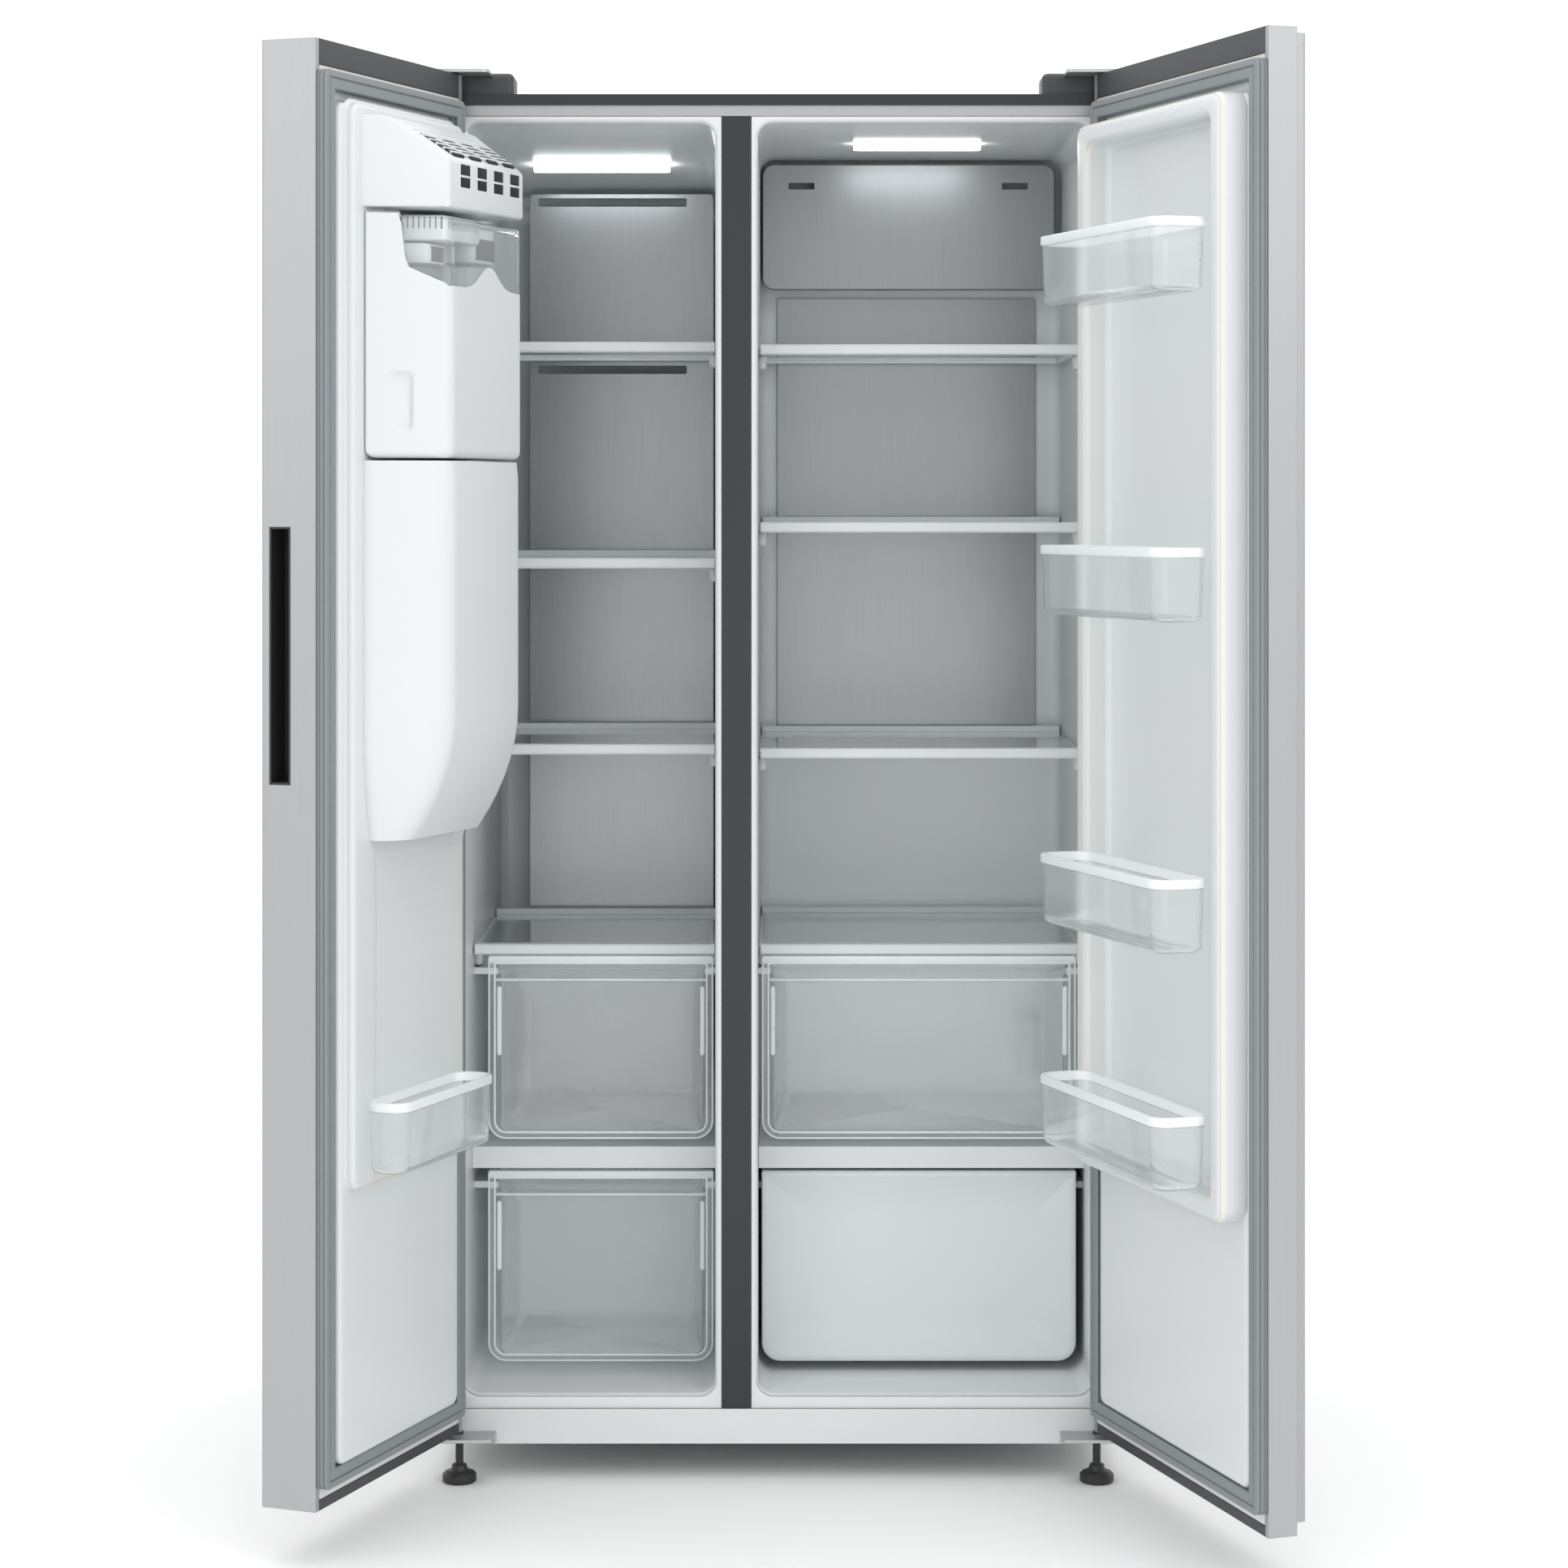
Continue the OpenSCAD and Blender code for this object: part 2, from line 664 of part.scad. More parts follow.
module hinge_screws() in_cabinet() color("gray")
    both_sides()
        translate([-pin_x, 0, 0]) {
            for (x = [10, 44])
                translate([x, 46, hinge_top_z[0] - 8])
                    cylinder(h = 12, r = 2.9);
            for (x = [40, 58]) {
                rod_y(x, [-7, -5.2], cab_low + 6, 4);
                rod_y(x, [-5.3, -2.3], cab_low + 6, 2.1);
            }
        }

module foot()
    translate([foot_pos[0], foot_pos[1], 0]) {
        rotate_extrude()
            polygon([[0, 0], [foot_r - 2, 0], [foot_r, 2], [foot_r, 10], [foot_r - 3, 13],
                [11, 15], [9, 22], [0, 22]]);
        translate([0, 0, 21])
            cylinder(h = door_low - 24, r = 5);
    }

module right_front_foot() in_cabinet() color("black")
    foot();

module left_front_foot() in_cabinet() color("black")
    mirror([1, 0, 0])
        foot();

module roller()
    rotate([0, 90, 0])
        rotate_extrude()
            polygon([[4 + fit, -9], [roller_r - 2, -9], [roller_r, -7], [roller_r, 7],
                [roller_r - 2, 9], [4 + fit, 9]]);

module right_rear_roller() in_cabinet() color("dimgray")
    translate([roller_pos[0], roller_pos[1], roller_r])
        roller();

module left_rear_roller() in_cabinet() color("dimgray")
    translate([-roller_pos[0], roller_pos[1], roller_r])
        roller();

module roller_brackets() in_cabinet() color("silver")
    both_sides()
        translate([roller_pos[0], roller_pos[1], 0]) {
            for (side = [-1, 1])
                box([side * 12 - 1, side * 12 + 1], [-16, 16], [12, cab_low]);
            rod_x([-15, 15], 0, roller_r, 4);
        }

module water_valve() in_cabinet() color("royalblue")
    translate([half_w - 95, cab_d, cab_low + 30]) {
        box([-22, 22], [-44, -8], [-24, 24]);
        rod_y(0, [-8, 22], 0, water_r);
        rod_y(0, [-8, -2], 0, water_r + 1.5);
        translate([0, -26, 24])
            cylinder(h = 18, r = 12);
    }

module cord_gland() in_cabinet() color("black")
    translate([-half_w + 95, cab_d, cab_low + 30])
        rotate([-90, 0, 0])
            rotate_extrude()
                polygon([[0, -14], [8.7, -14], [8.7, 1.4], [13, 1.4], [13, 4], [8, 7], [6, 12],
                    [3.8, 12], [3.8, -4], [0, -4]]);

// ---- door parts ----

// outline of a door seen from above, drawn in by a wall; a set back front half forms the grip
function quarter(x, y, r, a0) = [for (a = [a0:15:a0 + 90]) [x + r * cos(a), y + r * sin(a)]];
function outline(w, back, in) = concat(
    quarter(door_side + corner_r, door_out + corner_r, corner_r - min(in, 3), 180),
    quarter(w - back - corner_r, door_out + corner_r, corner_r - min(in, 3), 270),
    back > 0 ? [[w - back - in, grip_in + in], [w - in, grip_in + in]] : [],
    [[w - in, door_in - in], [door_side + in, door_in - in]]);

module door_skin(w, back)
    translate([0, 0, door_low])
        linear_extrude(door_high - door_low)
            difference() {
                polygon(outline(w, back, 0));
                polygon(outline(w, back, steel_t));
                translate([door_side + lip_w, door_in - 2 * steel_t])
                    square([w - door_side - 2 * lip_w, 3 * steel_t]);
            }

module door_core(w, back, z)
    translate([0, 0, z[0]])
        linear_extrude(z[1] - z[0])
            polygon(outline(w, back, steel_t));

module door_caps(w, back)
    difference() {
        union() {
            door_core(w, back, [door_high - cap_top_h, door_high]);
            door_core(w, back, [door_low, door_low + cap_low_h]);
            box([door_side + lip_w + gap, w - lip_w - gap], [door_in - 2 * steel_t, door_in],
                [door_high - cap_top_h, door_high]);
            box([door_side + lip_w + gap, w - lip_w - gap], [door_in - 2 * steel_t, door_in],
                [door_low, door_low + cap_low_h]);
        }
        cylinder(h = door_high + 1, r = pin_r + fit);
    }

module seal(w)
    difference() {
        slab_y([0, w - 2], [door_in + 0.1, door_in + seal_h], seal_z, 8);
        slab_y([seal_w, w - 2 - seal_w], [door_in - 1, door_in + seal_h + 1], grow(seal_z, -seal_w), 4);
        difference() {
            slab_y([7, w - 9], [door_in + seal_h - 6, door_in + seal_h + 1], grow(seal_z, -7), 6);
            slab_y([11, w - 13], [door_in + seal_h - 7, door_in + seal_h + 2], grow(seal_z, -11), 5);
        }
    }

// where a door's inner form starts: a form drawn in by a wall reaches back through the liner's rim
function form_root(wall) = wall > 0 ? door_in - rim_t : door_in;

// inner form of the freezer door, drawn in by a wall
module left_form(wall) {
    slab_y(grow([seal_w + 4, left_w - seal_w - 8], -wall),
        [form_root(wall), door_in + liner_t + seal_h - wall], grow(inner_z, -wall), 14 - wall);
    slab_y(grow([seal_w + 8, left_w - seal_w - 20], -wall),
        [form_root(wall), door_in + liner_t + left_liner_h - wall],
        grow([floor_z + 325, inner_z[1]], -wall), 18 - wall);
}

// inner form of the fridge door: two side ridges around a hollow back
module right_form(wall) {
    slab_y(grow([seal_w + 4, right_w - seal_w - 8], -wall),
        [form_root(wall), door_in + liner_t + seal_h - 4 - wall], grow(inner_z, -wall),
        14 - wall);
    difference() {
        slab_y(grow(ridge_x, -wall), [form_root(wall), door_in + ridge_h - wall],
            grow(ridge_z, -wall), 18 - wall);
        slab_y(grow(ridge_in, wall), [form_root(wall) - 1, door_in + ridge_h + 1],
            [ridge_z[0] + 26 - wall, ridge_z[1] - 26 + wall], 12 + wall);
    }
}

module liner_rim(w)
    box([door_side + lip_w + gap, w - lip_w - gap], [door_in - rim_t, door_in],
        [door_low + cap_low_h, door_high - cap_top_h]);

module freezer_door_skin() on_left_door() color("silver")
    difference() {
        door_skin(left_w, 0);
        box(dispenser_x, [door_out - 1, door_out + 6], dispenser_z);
        box([left_w - 6, left_w + 1], handle_y, handle_z);
    }

module freezer_door_foam() on_left_door() color("khaki")
    difference() {
        union() {
            door_core_inner(left_w, 0);
            left_form(liner_t);
        }
        box(grow(dispenser_x, gap), [door_out - 1, dispenser_deep + 4], grow(dispenser_z, gap));
        box([left_w - handle_deep - 3, left_w + 1], grow(handle_y, gap), grow(handle_z, gap));
    }

module door_core_inner(w, back)
    difference() {
        door_core(w, back, [door_low + cap_low_h, door_high - cap_top_h]);
        box([door_side, w], [door_in - rim_t, door_in + 1], [door_low, door_high]);
        cylinder(h = door_low + pin_up + 2, r = pin_r + 1);
    }

module freezer_door_caps() on_left_door() color("dimgray")
    door_caps(left_w, 0);

module freezer_door_liner() on_left_door() color("white")
    difference() {
        union() {
            liner_rim(left_w);
            left_form(0);
        }
        left_form(liner_t);
    }

module freezer_door_seal() on_left_door() color("gray")
    seal(left_w);

module handle_pocket() on_left_door() color("black")
    difference() {
        box([left_w - handle_deep, left_w], grow(handle_y, -0.2), grow(handle_z, -0.2));
        box([left_w - handle_deep + 2, left_w + 1], grow(handle_y, -2.5), grow(handle_z, -2.5));
    }

module dispenser_frame() on_left_door() color("dimgray") {
    difference() {
        union() {
            box(grow(dispenser_x, -0.3), [door_out - 1.5, dispenser_deep],
                grow(dispenser_z, -0.3));
            slab_y(grow(dispenser_x, 6), [door_out - 2.5, door_out - gap], grow(dispenser_z, 6), 8);
        }
        box(grow(dispenser_x, -4), [door_out - 3, dispenser_deep - 3],
            [dispenser_z[0] + 4, dispenser_z[1] - panel_h - 3]);
        box(grow(dispenser_x, -4), [door_out + 2, dispenser_deep - 3],
            [dispenser_z[1] - panel_h + 3, dispenser_z[1] - 4]);
    }
    for (side = [-1, 1])
        difference() {
            box([middle(dispenser_x) + side * 27 - 2, middle(dispenser_x) + side * 27 + 2],
                [paddle_pivot[0] - 7, paddle_pivot[0] + 7],
                [paddle_pivot[1] - 7, dispenser_z[1] - panel_h - 3]);
            rod_x([middle(dispenser_x) - 40, middle(dispenser_x) + 40], paddle_pivot[0],
                paddle_pivot[1], 3 + fit);
        }
}

module control_panel() on_left_door() color("black")
    slab_y(grow(dispenser_x, -3), [door_out - 4, door_out - 2.5],
        [dispenser_z[1] - panel_h + 2, dispenser_z[1] - 2], 5);

module dispenser_paddle() on_left_door() color("gray") {
    rod_x([middle(dispenser_x) - 29, middle(dispenser_x) + 29], paddle_pivot[0],
        paddle_pivot[1], 3);
    slab_y([middle(dispenser_x) - 22, middle(dispenser_x) + 22],
        [paddle_pivot[0] - 2, paddle_pivot[0] + 2],
        [paddle_pivot[1] - 120, paddle_pivot[1]], 8);
}

module drip_tray() on_left_door() color("gray")
    difference() {
        box(grow(dispenser_x, -6), [door_out + 2, dispenser_deep - 5],
            [dispenser_z[0] + 4.3, dispenser_z[0] + 14]);
        for (i = [0:8])
            box([dispenser_x[0] + 16 + i * 17, dispenser_x[0] + 26 + i * 17],
                [door_out + 8, dispenser_deep - 10], [dispenser_z[0] + 7, dispenser_z[0] + 15]);
    }

left_face = door_in + liner_t + left_liner_h;

// the free side of the ice maker leans in towards its front
function ice_side(y) = ice_x[1] - ice_lean * (y - left_face) / (ice_reach - left_face);

// room of the ice maker seen from above, drawn in by a wall
module ice_room(wall)
    translate([0, 0, duct_z[0] - 1])
        linear_extrude(housing_z[1] - duct_z[0] + 2)
            polygon([[ice_x[0] + wall, left_face - 2], [ice_side(left_face - 2) - wall, left_face - 2],
                [ice_side(ice_reach + 1) - wall, ice_reach + 1], [ice_x[0] + wall, ice_reach + 1]]);

// outline of the dispenser duct seen from the hinge, drawn in by a wall
function duct_outline(in) = [
    [left_face + (in > 0 ? -1 : 0.1), duct_z[0] + in], [left_face + 44 - in, duct_z[0] + in],
    [ice_reach - 18 - in, duct_z[0] + 40 + in / 2], [ice_reach - 4 - in, duct_z[0] + 130],
    [ice_reach - in, duct_z[0] + 220], [ice_reach - in, duct_z[1] - in],
    [left_face + (in > 0 ? -1 : 0.1), duct_z[1] - in]];

module dispenser_duct() on_left_door() color("white")
    difference() {
        intersection() {
            along_x(ice_x, duct_outline(0));
            ice_room(0);
        }
        intersection() {
            along_x(grow(ice_x, -3), duct_outline(3));
            ice_room(3);
        }
        box(grow([middle(dispenser_x), middle(dispenser_x)], 35),
            [left_face + 20, ice_reach - 20], [duct_z[1] - 10, duct_z[1] + 1]);
    }

tray_pivot = [left_face + 46, housing_z[0] + 26];
tray_x = [ice_x[0] + 34, ice_side(tray_pivot[0] + 28) - 6];
tray_pitch = (tray_x[1] - tray_x[0] - 6) / 6;
window_pitch = (ice_side(ice_reach) - ice_x[0] - 18) / 4;

function housing_outline(in) = [
    [left_face + (in > 0 ? -1 : 0.1), housing_z[0] - (in > 0 ? 1 : 0)],
    [ice_reach - in, housing_z[0] - (in > 0 ? 1 : 0)], [ice_reach - in, housing_z[0] + 62 - in / 2],
    [left_face + 18, housing_z[1] - in], [left_face + (in > 0 ? -1 : 0.1), housing_z[1] - in]];

module ice_maker_housing() on_left_door() color("white")
    difference() {
        union() {
            difference() {
                intersection() {
                    along_x(ice_x, housing_outline(0));
                    ice_room(0);
                }
                intersection() {
                    along_x(grow(ice_x, -3), housing_outline(3));
                    ice_room(3);
                }
            }
            rod_x([ice_x[0] + 2, ice_x[0] + 12], tray_pivot[0], tray_pivot[1], 9);
            intersection() {
                rod_x([ice_side(tray_pivot[0]) - 16, ice_x[1]], tray_pivot[0], tray_pivot[1], 9);
                ice_room(1);
            }
        }
        rod_x([ice_x[0] + 5, ice_side(tray_pivot[0]) - 6], tray_pivot[0], tray_pivot[1], 4 + fit);
        for (i = [0:3])
            box([ice_x[0] + 14 + i * window_pitch, ice_x[0] + 4 + (i + 1) * window_pitch],
                [ice_reach - 4, ice_reach + 1], [housing_z[0] + 12, housing_z[0] + 42]);
    }

module ice_tray() on_left_door() color("lightblue")
    difference() {
        union() {
            along_x(tray_x, [
                [tray_pivot[0] - 26, tray_pivot[1] - 8], [tray_pivot[0] - 20, tray_pivot[1] - 16],
                [tray_pivot[0] + 20, tray_pivot[1] - 16], [tray_pivot[0] + 26, tray_pivot[1] - 8],
                [tray_pivot[0] + 26, tray_pivot[1] + 10], [tray_pivot[0] - 26, tray_pivot[1] + 10]]);
            rod_x([ice_x[0] + 6, ice_side(tray_pivot[0]) - 7], tray_pivot[0], tray_pivot[1], 4);
        }
        for (i = [0:5], j = [0, 1])
            box([tray_x[0] + 6 + i * tray_pitch, tray_x[0] + (i + 1) * tray_pitch],
                [tray_pivot[0] - 22 + j * 24, tray_pivot[0] - 2 + j * 24],
                [tray_pivot[1] - 12, tray_pivot[1] + 11]);
    }

module ice_bucket() on_left_door() color("white")
    difference() {
        intersection() {
            slab_z(ice_x, [left_face + 1, ice_reach], bucket_z, 12);
            ice_room(0);
        }
        intersection() {
            slab_z(grow(ice_x, -3), [left_face + 4, ice_reach - 3], [bucket_z[0] + 3, bucket_z[1] + 1],
                10);
            ice_room(3);
        }
        box([ice_x[0] + 14, ice_side(ice_reach) - 10], [ice_reach - 5, ice_reach + 1],
            [bucket_z[1] - 84, bucket_z[1] - 6]);
        box(grow([middle(dispenser_x), middle(dispenser_x)], 35),
            [left_face + 20, ice_reach - 20], [bucket_z[0] - 1, bucket_z[0] + 4]);
    }

// an open tray that hooks on the door liner; x and y ranges of the front part, and of the root
module door_bin(x, y, root_x, root_y, z)
    difference() {
        union() {
            slab_z(x, y, [z, z + bin_h], 10);
            box(root_x, [root_y, y[0] + 12], [z, z + bin_h]);
        }
        slab_z(grow(x, -bin_t), [y[0] + bin_t, y[1] - bin_t], [z + bin_t, z + bin_h + 1], 8);
        box(grow(root_x, -bin_t), [root_y + bin_t, y[0] + 12 + 2], [z + bin_t, z + bin_h + 1]);
    }

module freezer_door_bin() on_left_door() color("azure")
    door_bin([ice_x[0] + 3, ice_x[1] + 2], [left_face + gap, ice_reach - 32],
        [ice_x[0] + 18, ice_x[1] - 14], left_face + gap, floor_z + 343);

right_face = door_in + ridge_h;
hollow_face = door_in + liner_t + seal_h - 4;

module fridge_bin(k)
    door_bin(bin_x, [right_face + gap, bin_reach], grow(ridge_in, -3), hollow_face + gap,
        bin_low(bin_shares[k]));

module upper_door_bins() on_right_door() color("azure") {
    fridge_bin(3);
    fridge_bin(2);
}

module lower_door_bins() on_right_door() color("azure") {
    fridge_bin(1);
    fridge_bin(0);
}

module fridge_door_skin() on_right_door() color("silver")
    door_skin(right_w, grip_back);

module fridge_door_foam() on_right_door() color("khaki") {
    door_core_inner(right_w, grip_back);
    right_form(liner_t);
}

module fridge_door_caps() on_right_door() color("dimgray")
    door_caps(right_w, grip_back);

module fridge_door_liner() on_right_door() color("white")
    difference() {
        union() {
            liner_rim(right_w);
            right_form(0);
        }
        right_form(liner_t);
    }

module fridge_door_seal() on_right_door() color("gray")
    seal(right_w);

cabinet_shell();
insulation();
freezer_liner();
fridge_liner();
top_rail();
mullion_cover();
base_panel();
machine_cover();
compressor();
condenser();
condenser_fan();
evaporator();
evaporator_fan();
freezer_back_panel();
fridge_air_panel();
fridge_back_panel();
cavity_lamps();
freezer_shelf_glass();
freezer_shelf_trims();
fridge_shelf_glass();
fridge_shelf_trims();
drawer_rails();
freezer_drawer_upper();
freezer_drawer_lower();
crisper_drawer();
chill_drawer();
top_hinges();
hinge_covers();
bottom_hinges();
hinge_screws();
left_front_foot();
right_front_foot();
roller_brackets();
left_rear_roller();
right_rear_roller();
water_valve();
cord_gland();
freezer_door_skin();
freezer_door_foam();
freezer_door_caps();
freezer_door_liner();
freezer_door_seal();
handle_pocket();
dispenser_frame();
control_panel();
dispenser_paddle();
drip_tray();
dispenser_duct();
ice_maker_housing();
ice_tray();
ice_bucket();
freezer_door_bin();
fridge_door_skin();
fridge_door_foam();
fridge_door_caps();
fridge_door_liner();
fridge_door_seal();
upper_door_bins();
lower_door_bins();
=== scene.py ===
"""Looks of a side by side refrigerator with open doors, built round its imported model."""

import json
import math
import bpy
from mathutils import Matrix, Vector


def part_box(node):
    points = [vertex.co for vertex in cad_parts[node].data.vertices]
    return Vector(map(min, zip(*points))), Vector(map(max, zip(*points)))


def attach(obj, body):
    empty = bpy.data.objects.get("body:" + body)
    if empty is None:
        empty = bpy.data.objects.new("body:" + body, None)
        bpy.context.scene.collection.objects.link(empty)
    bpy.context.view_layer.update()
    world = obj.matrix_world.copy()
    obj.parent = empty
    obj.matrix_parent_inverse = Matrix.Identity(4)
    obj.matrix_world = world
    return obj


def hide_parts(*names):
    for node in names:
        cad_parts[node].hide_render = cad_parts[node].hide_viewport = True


bl_info = {
    "name": "Side by side refrigerator",
    "version": (1, 0, 0),
    "blender": (4, 5, 0),
    "location": "3D View > Sidebar > Refrigerator",
    "description": "Smooth liners, drawers, bins, seals and finishes for an open refrigerator",
    "category": "Object",
}

import bpy
import numpy as np
from mathutils import Vector

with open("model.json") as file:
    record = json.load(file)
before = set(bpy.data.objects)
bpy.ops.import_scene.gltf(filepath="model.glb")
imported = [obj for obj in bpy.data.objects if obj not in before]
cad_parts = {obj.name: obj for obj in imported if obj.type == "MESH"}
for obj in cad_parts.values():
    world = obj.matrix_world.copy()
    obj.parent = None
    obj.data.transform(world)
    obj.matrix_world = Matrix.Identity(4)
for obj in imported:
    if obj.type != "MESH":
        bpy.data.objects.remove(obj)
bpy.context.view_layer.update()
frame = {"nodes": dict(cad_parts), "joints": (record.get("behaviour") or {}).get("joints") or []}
MM = 0.001
# the cavities' front plane and floor in millimetres, and the hinge of each door
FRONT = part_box("freezer_liner")[0][1] / MM
FLOOR = 108.0
HINGES = {j["child"]: j for j in frame["joints"] if j["name"].endswith("_door_hinge")}


# ---- what a user would change ----


def length(name, about, default):
    return bpy.props.FloatProperty(
        name=name, description=about, default=default * MM, unit="LENGTH", precision=4
    )


def colour(name, about, default):
    return bpy.props.FloatVectorProperty(
        name=name, description=about, default=default, subtype="COLOR", min=0, max=1
    )


class FridgeSizes(bpy.types.PropertyGroup):
    wall: length("Moulded wall", "Thickness of liners and trays", 2.0)
    mouth_round: length("Mouth rounding", "Rounding where a cavity meets its flange", 6.0)
    seal_groove: length("Seal groove", "Depth of the grooves round a door seal", 1.8)
    bin_round: length("Bin corner", "Radius of a door bin's corners", 24.0)
    drawer_round: length("Drawer corner", "Radius of a drawer's corners", 20.0)
    lip: length("Rim height", "Height of the thick rim of a bin or drawer", 11.0)
    edge_round: length("Edge rounding", "Rounding that shows on a sharp edge", 0.9)


class FridgeColours(bpy.types.PropertyGroup):
    metal: colour("Door metal", "Silver paint of doors and cabinet", (0.41, 0.42, 0.425))
    liner: colour("Liner", "White moulded inner walls", (0.665, 0.685, 0.69))
    trim: colour("White trim", "Shelf edges and ice bucket", (0.66, 0.68, 0.685))
    dark: colour("Dark trim", "Door caps and hinge covers", (0.035, 0.037, 0.04))
    rail: colour("Grey rail", "Rail above the doors and strip between them", (0.012, 0.015, 0.017))
    back: colour("Back panel", "Brushed panels at the back of the cavities", (0.30, 0.31, 0.315))
    seal: colour("Seal", "Soft seals round the doors", (0.22, 0.24, 0.25))
    drawer: colour("Grey drawer", "Opaque drawer", (0.65, 0.68, 0.69))


def sizes():
    return bpy.context.scene.fridge_sizes


# ---- places, in millimetres unless they say otherwise ----

# each cavity's liner, its depth and how far its ceiling falls to the back; then how far behind the
# front the floor rises over the machine room, and to what height
CAVITIES = (("freezer_liner", 580, 44), ("fridge_liner", 512, 0))
MACHINE_ROOM = (410, 300)

# raised fields of each door's liner: left, right, low and high in the door's width and height,
# corner radius, and the depths that the field rises from and to
FIELDS = {
    "freezer_door": (
        ((26, 339.5, 114, 1710), 14, (20, 36.1)),
        ((30, 327.5, 815, 1710), 18, (34, 47.5)),
        ((266, 327.45, 433, 860), 18, (34, 47.45)),
        ((30, 319, 433.3, 900), 18, (34, 45.7)),
    ),
    "fridge_door": (((26, 443.5, 114, 1710), 14, (20, 32.1)),),
}
# the fridge door's ridge: its rectangle, width and depths
RIDGE = ((28, 441.5, 418, 1710), 26, (31, 66))
SEAL_WIDTH = 22

# undersides of the fridge door's bins, and the span and height of a bin
BIN_HEIGHTS = {"lower_door_bins": (455.1, 725.8), "upper_door_bins": (1103.8, 1481.8)}
BIN_WIDTH, BIN_DEPTH, BIN_TALL = (70.0, 424.5), (66.5, 138.0), 85
# lowest and highest corner of the freezer door's bin
FREEZER_BIN = ((55, 48, 451), (309.5, 105, 536))

# the ice unit's span in width and depth, the share of its width that its free side gives up over
# that depth, and the depth at which the housing's top starts to fall
UNIT = (52.0, 307.5, 47.5, 137.0)
LEAN = 0.205
SLOPE_START = 66
# height of the sill of the bucket's window
SILL = 1498

# width of a hinge cover, and its screw's distance from the outer edge and from the front
COVER_WIDTH, SCREW_IN, SCREW_BACK = 103, 52, 30

# name, place in metres, size in metres and power of each light
LIGHTS = (
    ("key", (3.0, -3.4, 3.0), 2.6, 26),
    ("fill", (-3.4, -2.4, 2.6), 2.6, 15),
    ("low_fill", (0.0, -3.6, 0.5), 2.0, 10),
    ("top", (0.0, -0.6, 4.2), 3.2, 25),
)
SKY = 1.12
# radius of the floor and the point that the lights aim at, in metres
GROUND, AIM = 14, (0.0, 0.0, 0.95)
# the camera's place in metres, lens, film width and upward shift as a share of the film
EYE, LENS, FILM, SHIFT = (0.0075, -4.54259, 1.23444), 80.60, 36.0, -0.1762


# ---- surfaces ----


def arc(centre, radius, start, end, count=6):
    """Points of a circle's arc: centre plus radius times (cosine, sine) of an angle in degrees."""
    a = np.radians(np.linspace(start, end, count))
    return np.stack([centre[0] + radius * np.cos(a), centre[1] + radius * np.sin(a)], -1)


def path(*parts):
    """Points and arcs joined into one line."""
    return np.concatenate([np.atleast_2d(np.asarray(p, float)) for p in parts])


def rings(rows, steps=7, corners=(1, 1, 1, 1)):
    """A stack of rectangles with round corners. A row gives left, right, low, high, corner radius
    and height; a corner's point is its centre plus the radius times (cosine, sine). corners gives
    each corner's share of the radius, from the low right one round to the low left one."""
    x0, x1, y0, y1, r, h = np.asarray(rows, float).T[:, :, None, None]
    r = np.maximum(r * np.array(corners, float)[None, :, None], 0.3)
    turn = np.radians(np.array([-90, 0, 90, 180]))[None, :, None]
    a = turn + np.radians(np.linspace(0, 90, steps))[None, None, :]
    right = np.array([True, True, False, False])[None, :, None]
    high = np.array([False, True, True, False])[None, :, None]
    x = np.where(right, x1 - r, x0 + r) + r * np.cos(a)
    y = np.where(high, y1 - r, y0 + r) + r * np.sin(a)
    return np.stack([x, y, h + 0 * a], -1).reshape(len(rows), -1, 3)


def carried(rect, radius, line, steps=7, sides=(1, 1, 1, 1), corners=(1, 1, 1, 1), least=0.4):
    """A line of (inset, height) points carried round a rectangle with round corners: each point
    draws each side in by its inset times that side's share, and takes as much off the radius, down
    to the least one."""
    inset, height = np.asarray(line, float).T
    x0, x1, y0, y1 = rect
    a, b, c, d = sides
    r = np.clip(radius - inset, least, None)
    rows = np.stack([x0 + a * inset, x1 - b * inset, y0 + c * inset, y1 - d * inset, r, height], -1)
    return rings(rows, steps, corners)


def refined(grid, step):
    """The grid with points put in between wherever two rings or two neighbours on a ring lie more
    than a step apart, by straight interpolation."""
    grid = np.concatenate([grid, grid[:, :1]], 1)
    for axis in (0, 1):
        grid = np.moveaxis(grid, axis, 0)
        gap = np.linalg.norm(np.diff(grid, axis=0), axis=-1).max(1)
        count = np.ceil(gap / step).clip(1).astype(int)
        at = np.repeat(np.arange(len(count)), count)
        share = np.arange(len(at)) - np.repeat(np.cumsum(count) - count, count)
        share = (share / count[at])[:, None, None]
        grid = np.concatenate([grid[at] * (1 - share) + grid[at + 1] * share, grid[-1:]])
        grid = np.moveaxis(grid, 0, axis)
    return grid[:, :-1]


def step_up(x):
    """Smooth step from 0 to 1: 3x squared less 2x cubed, for x held between 0 and 1."""
    x = np.clip(x, 0, 1)
    return x * x * (3 - 2 * x)


def lathe(line, count=40):
    """A line of (radius, height) points turned about the vertical: (r cos a, r sin a, height)."""
    a = np.linspace(0, 2 * math.pi, count, endpoint=False)
    r, h = np.asarray(line, float).T[:, :, None]
    return np.stack([r * np.cos(a), r * np.sin(a), h + 0 * a], -1)


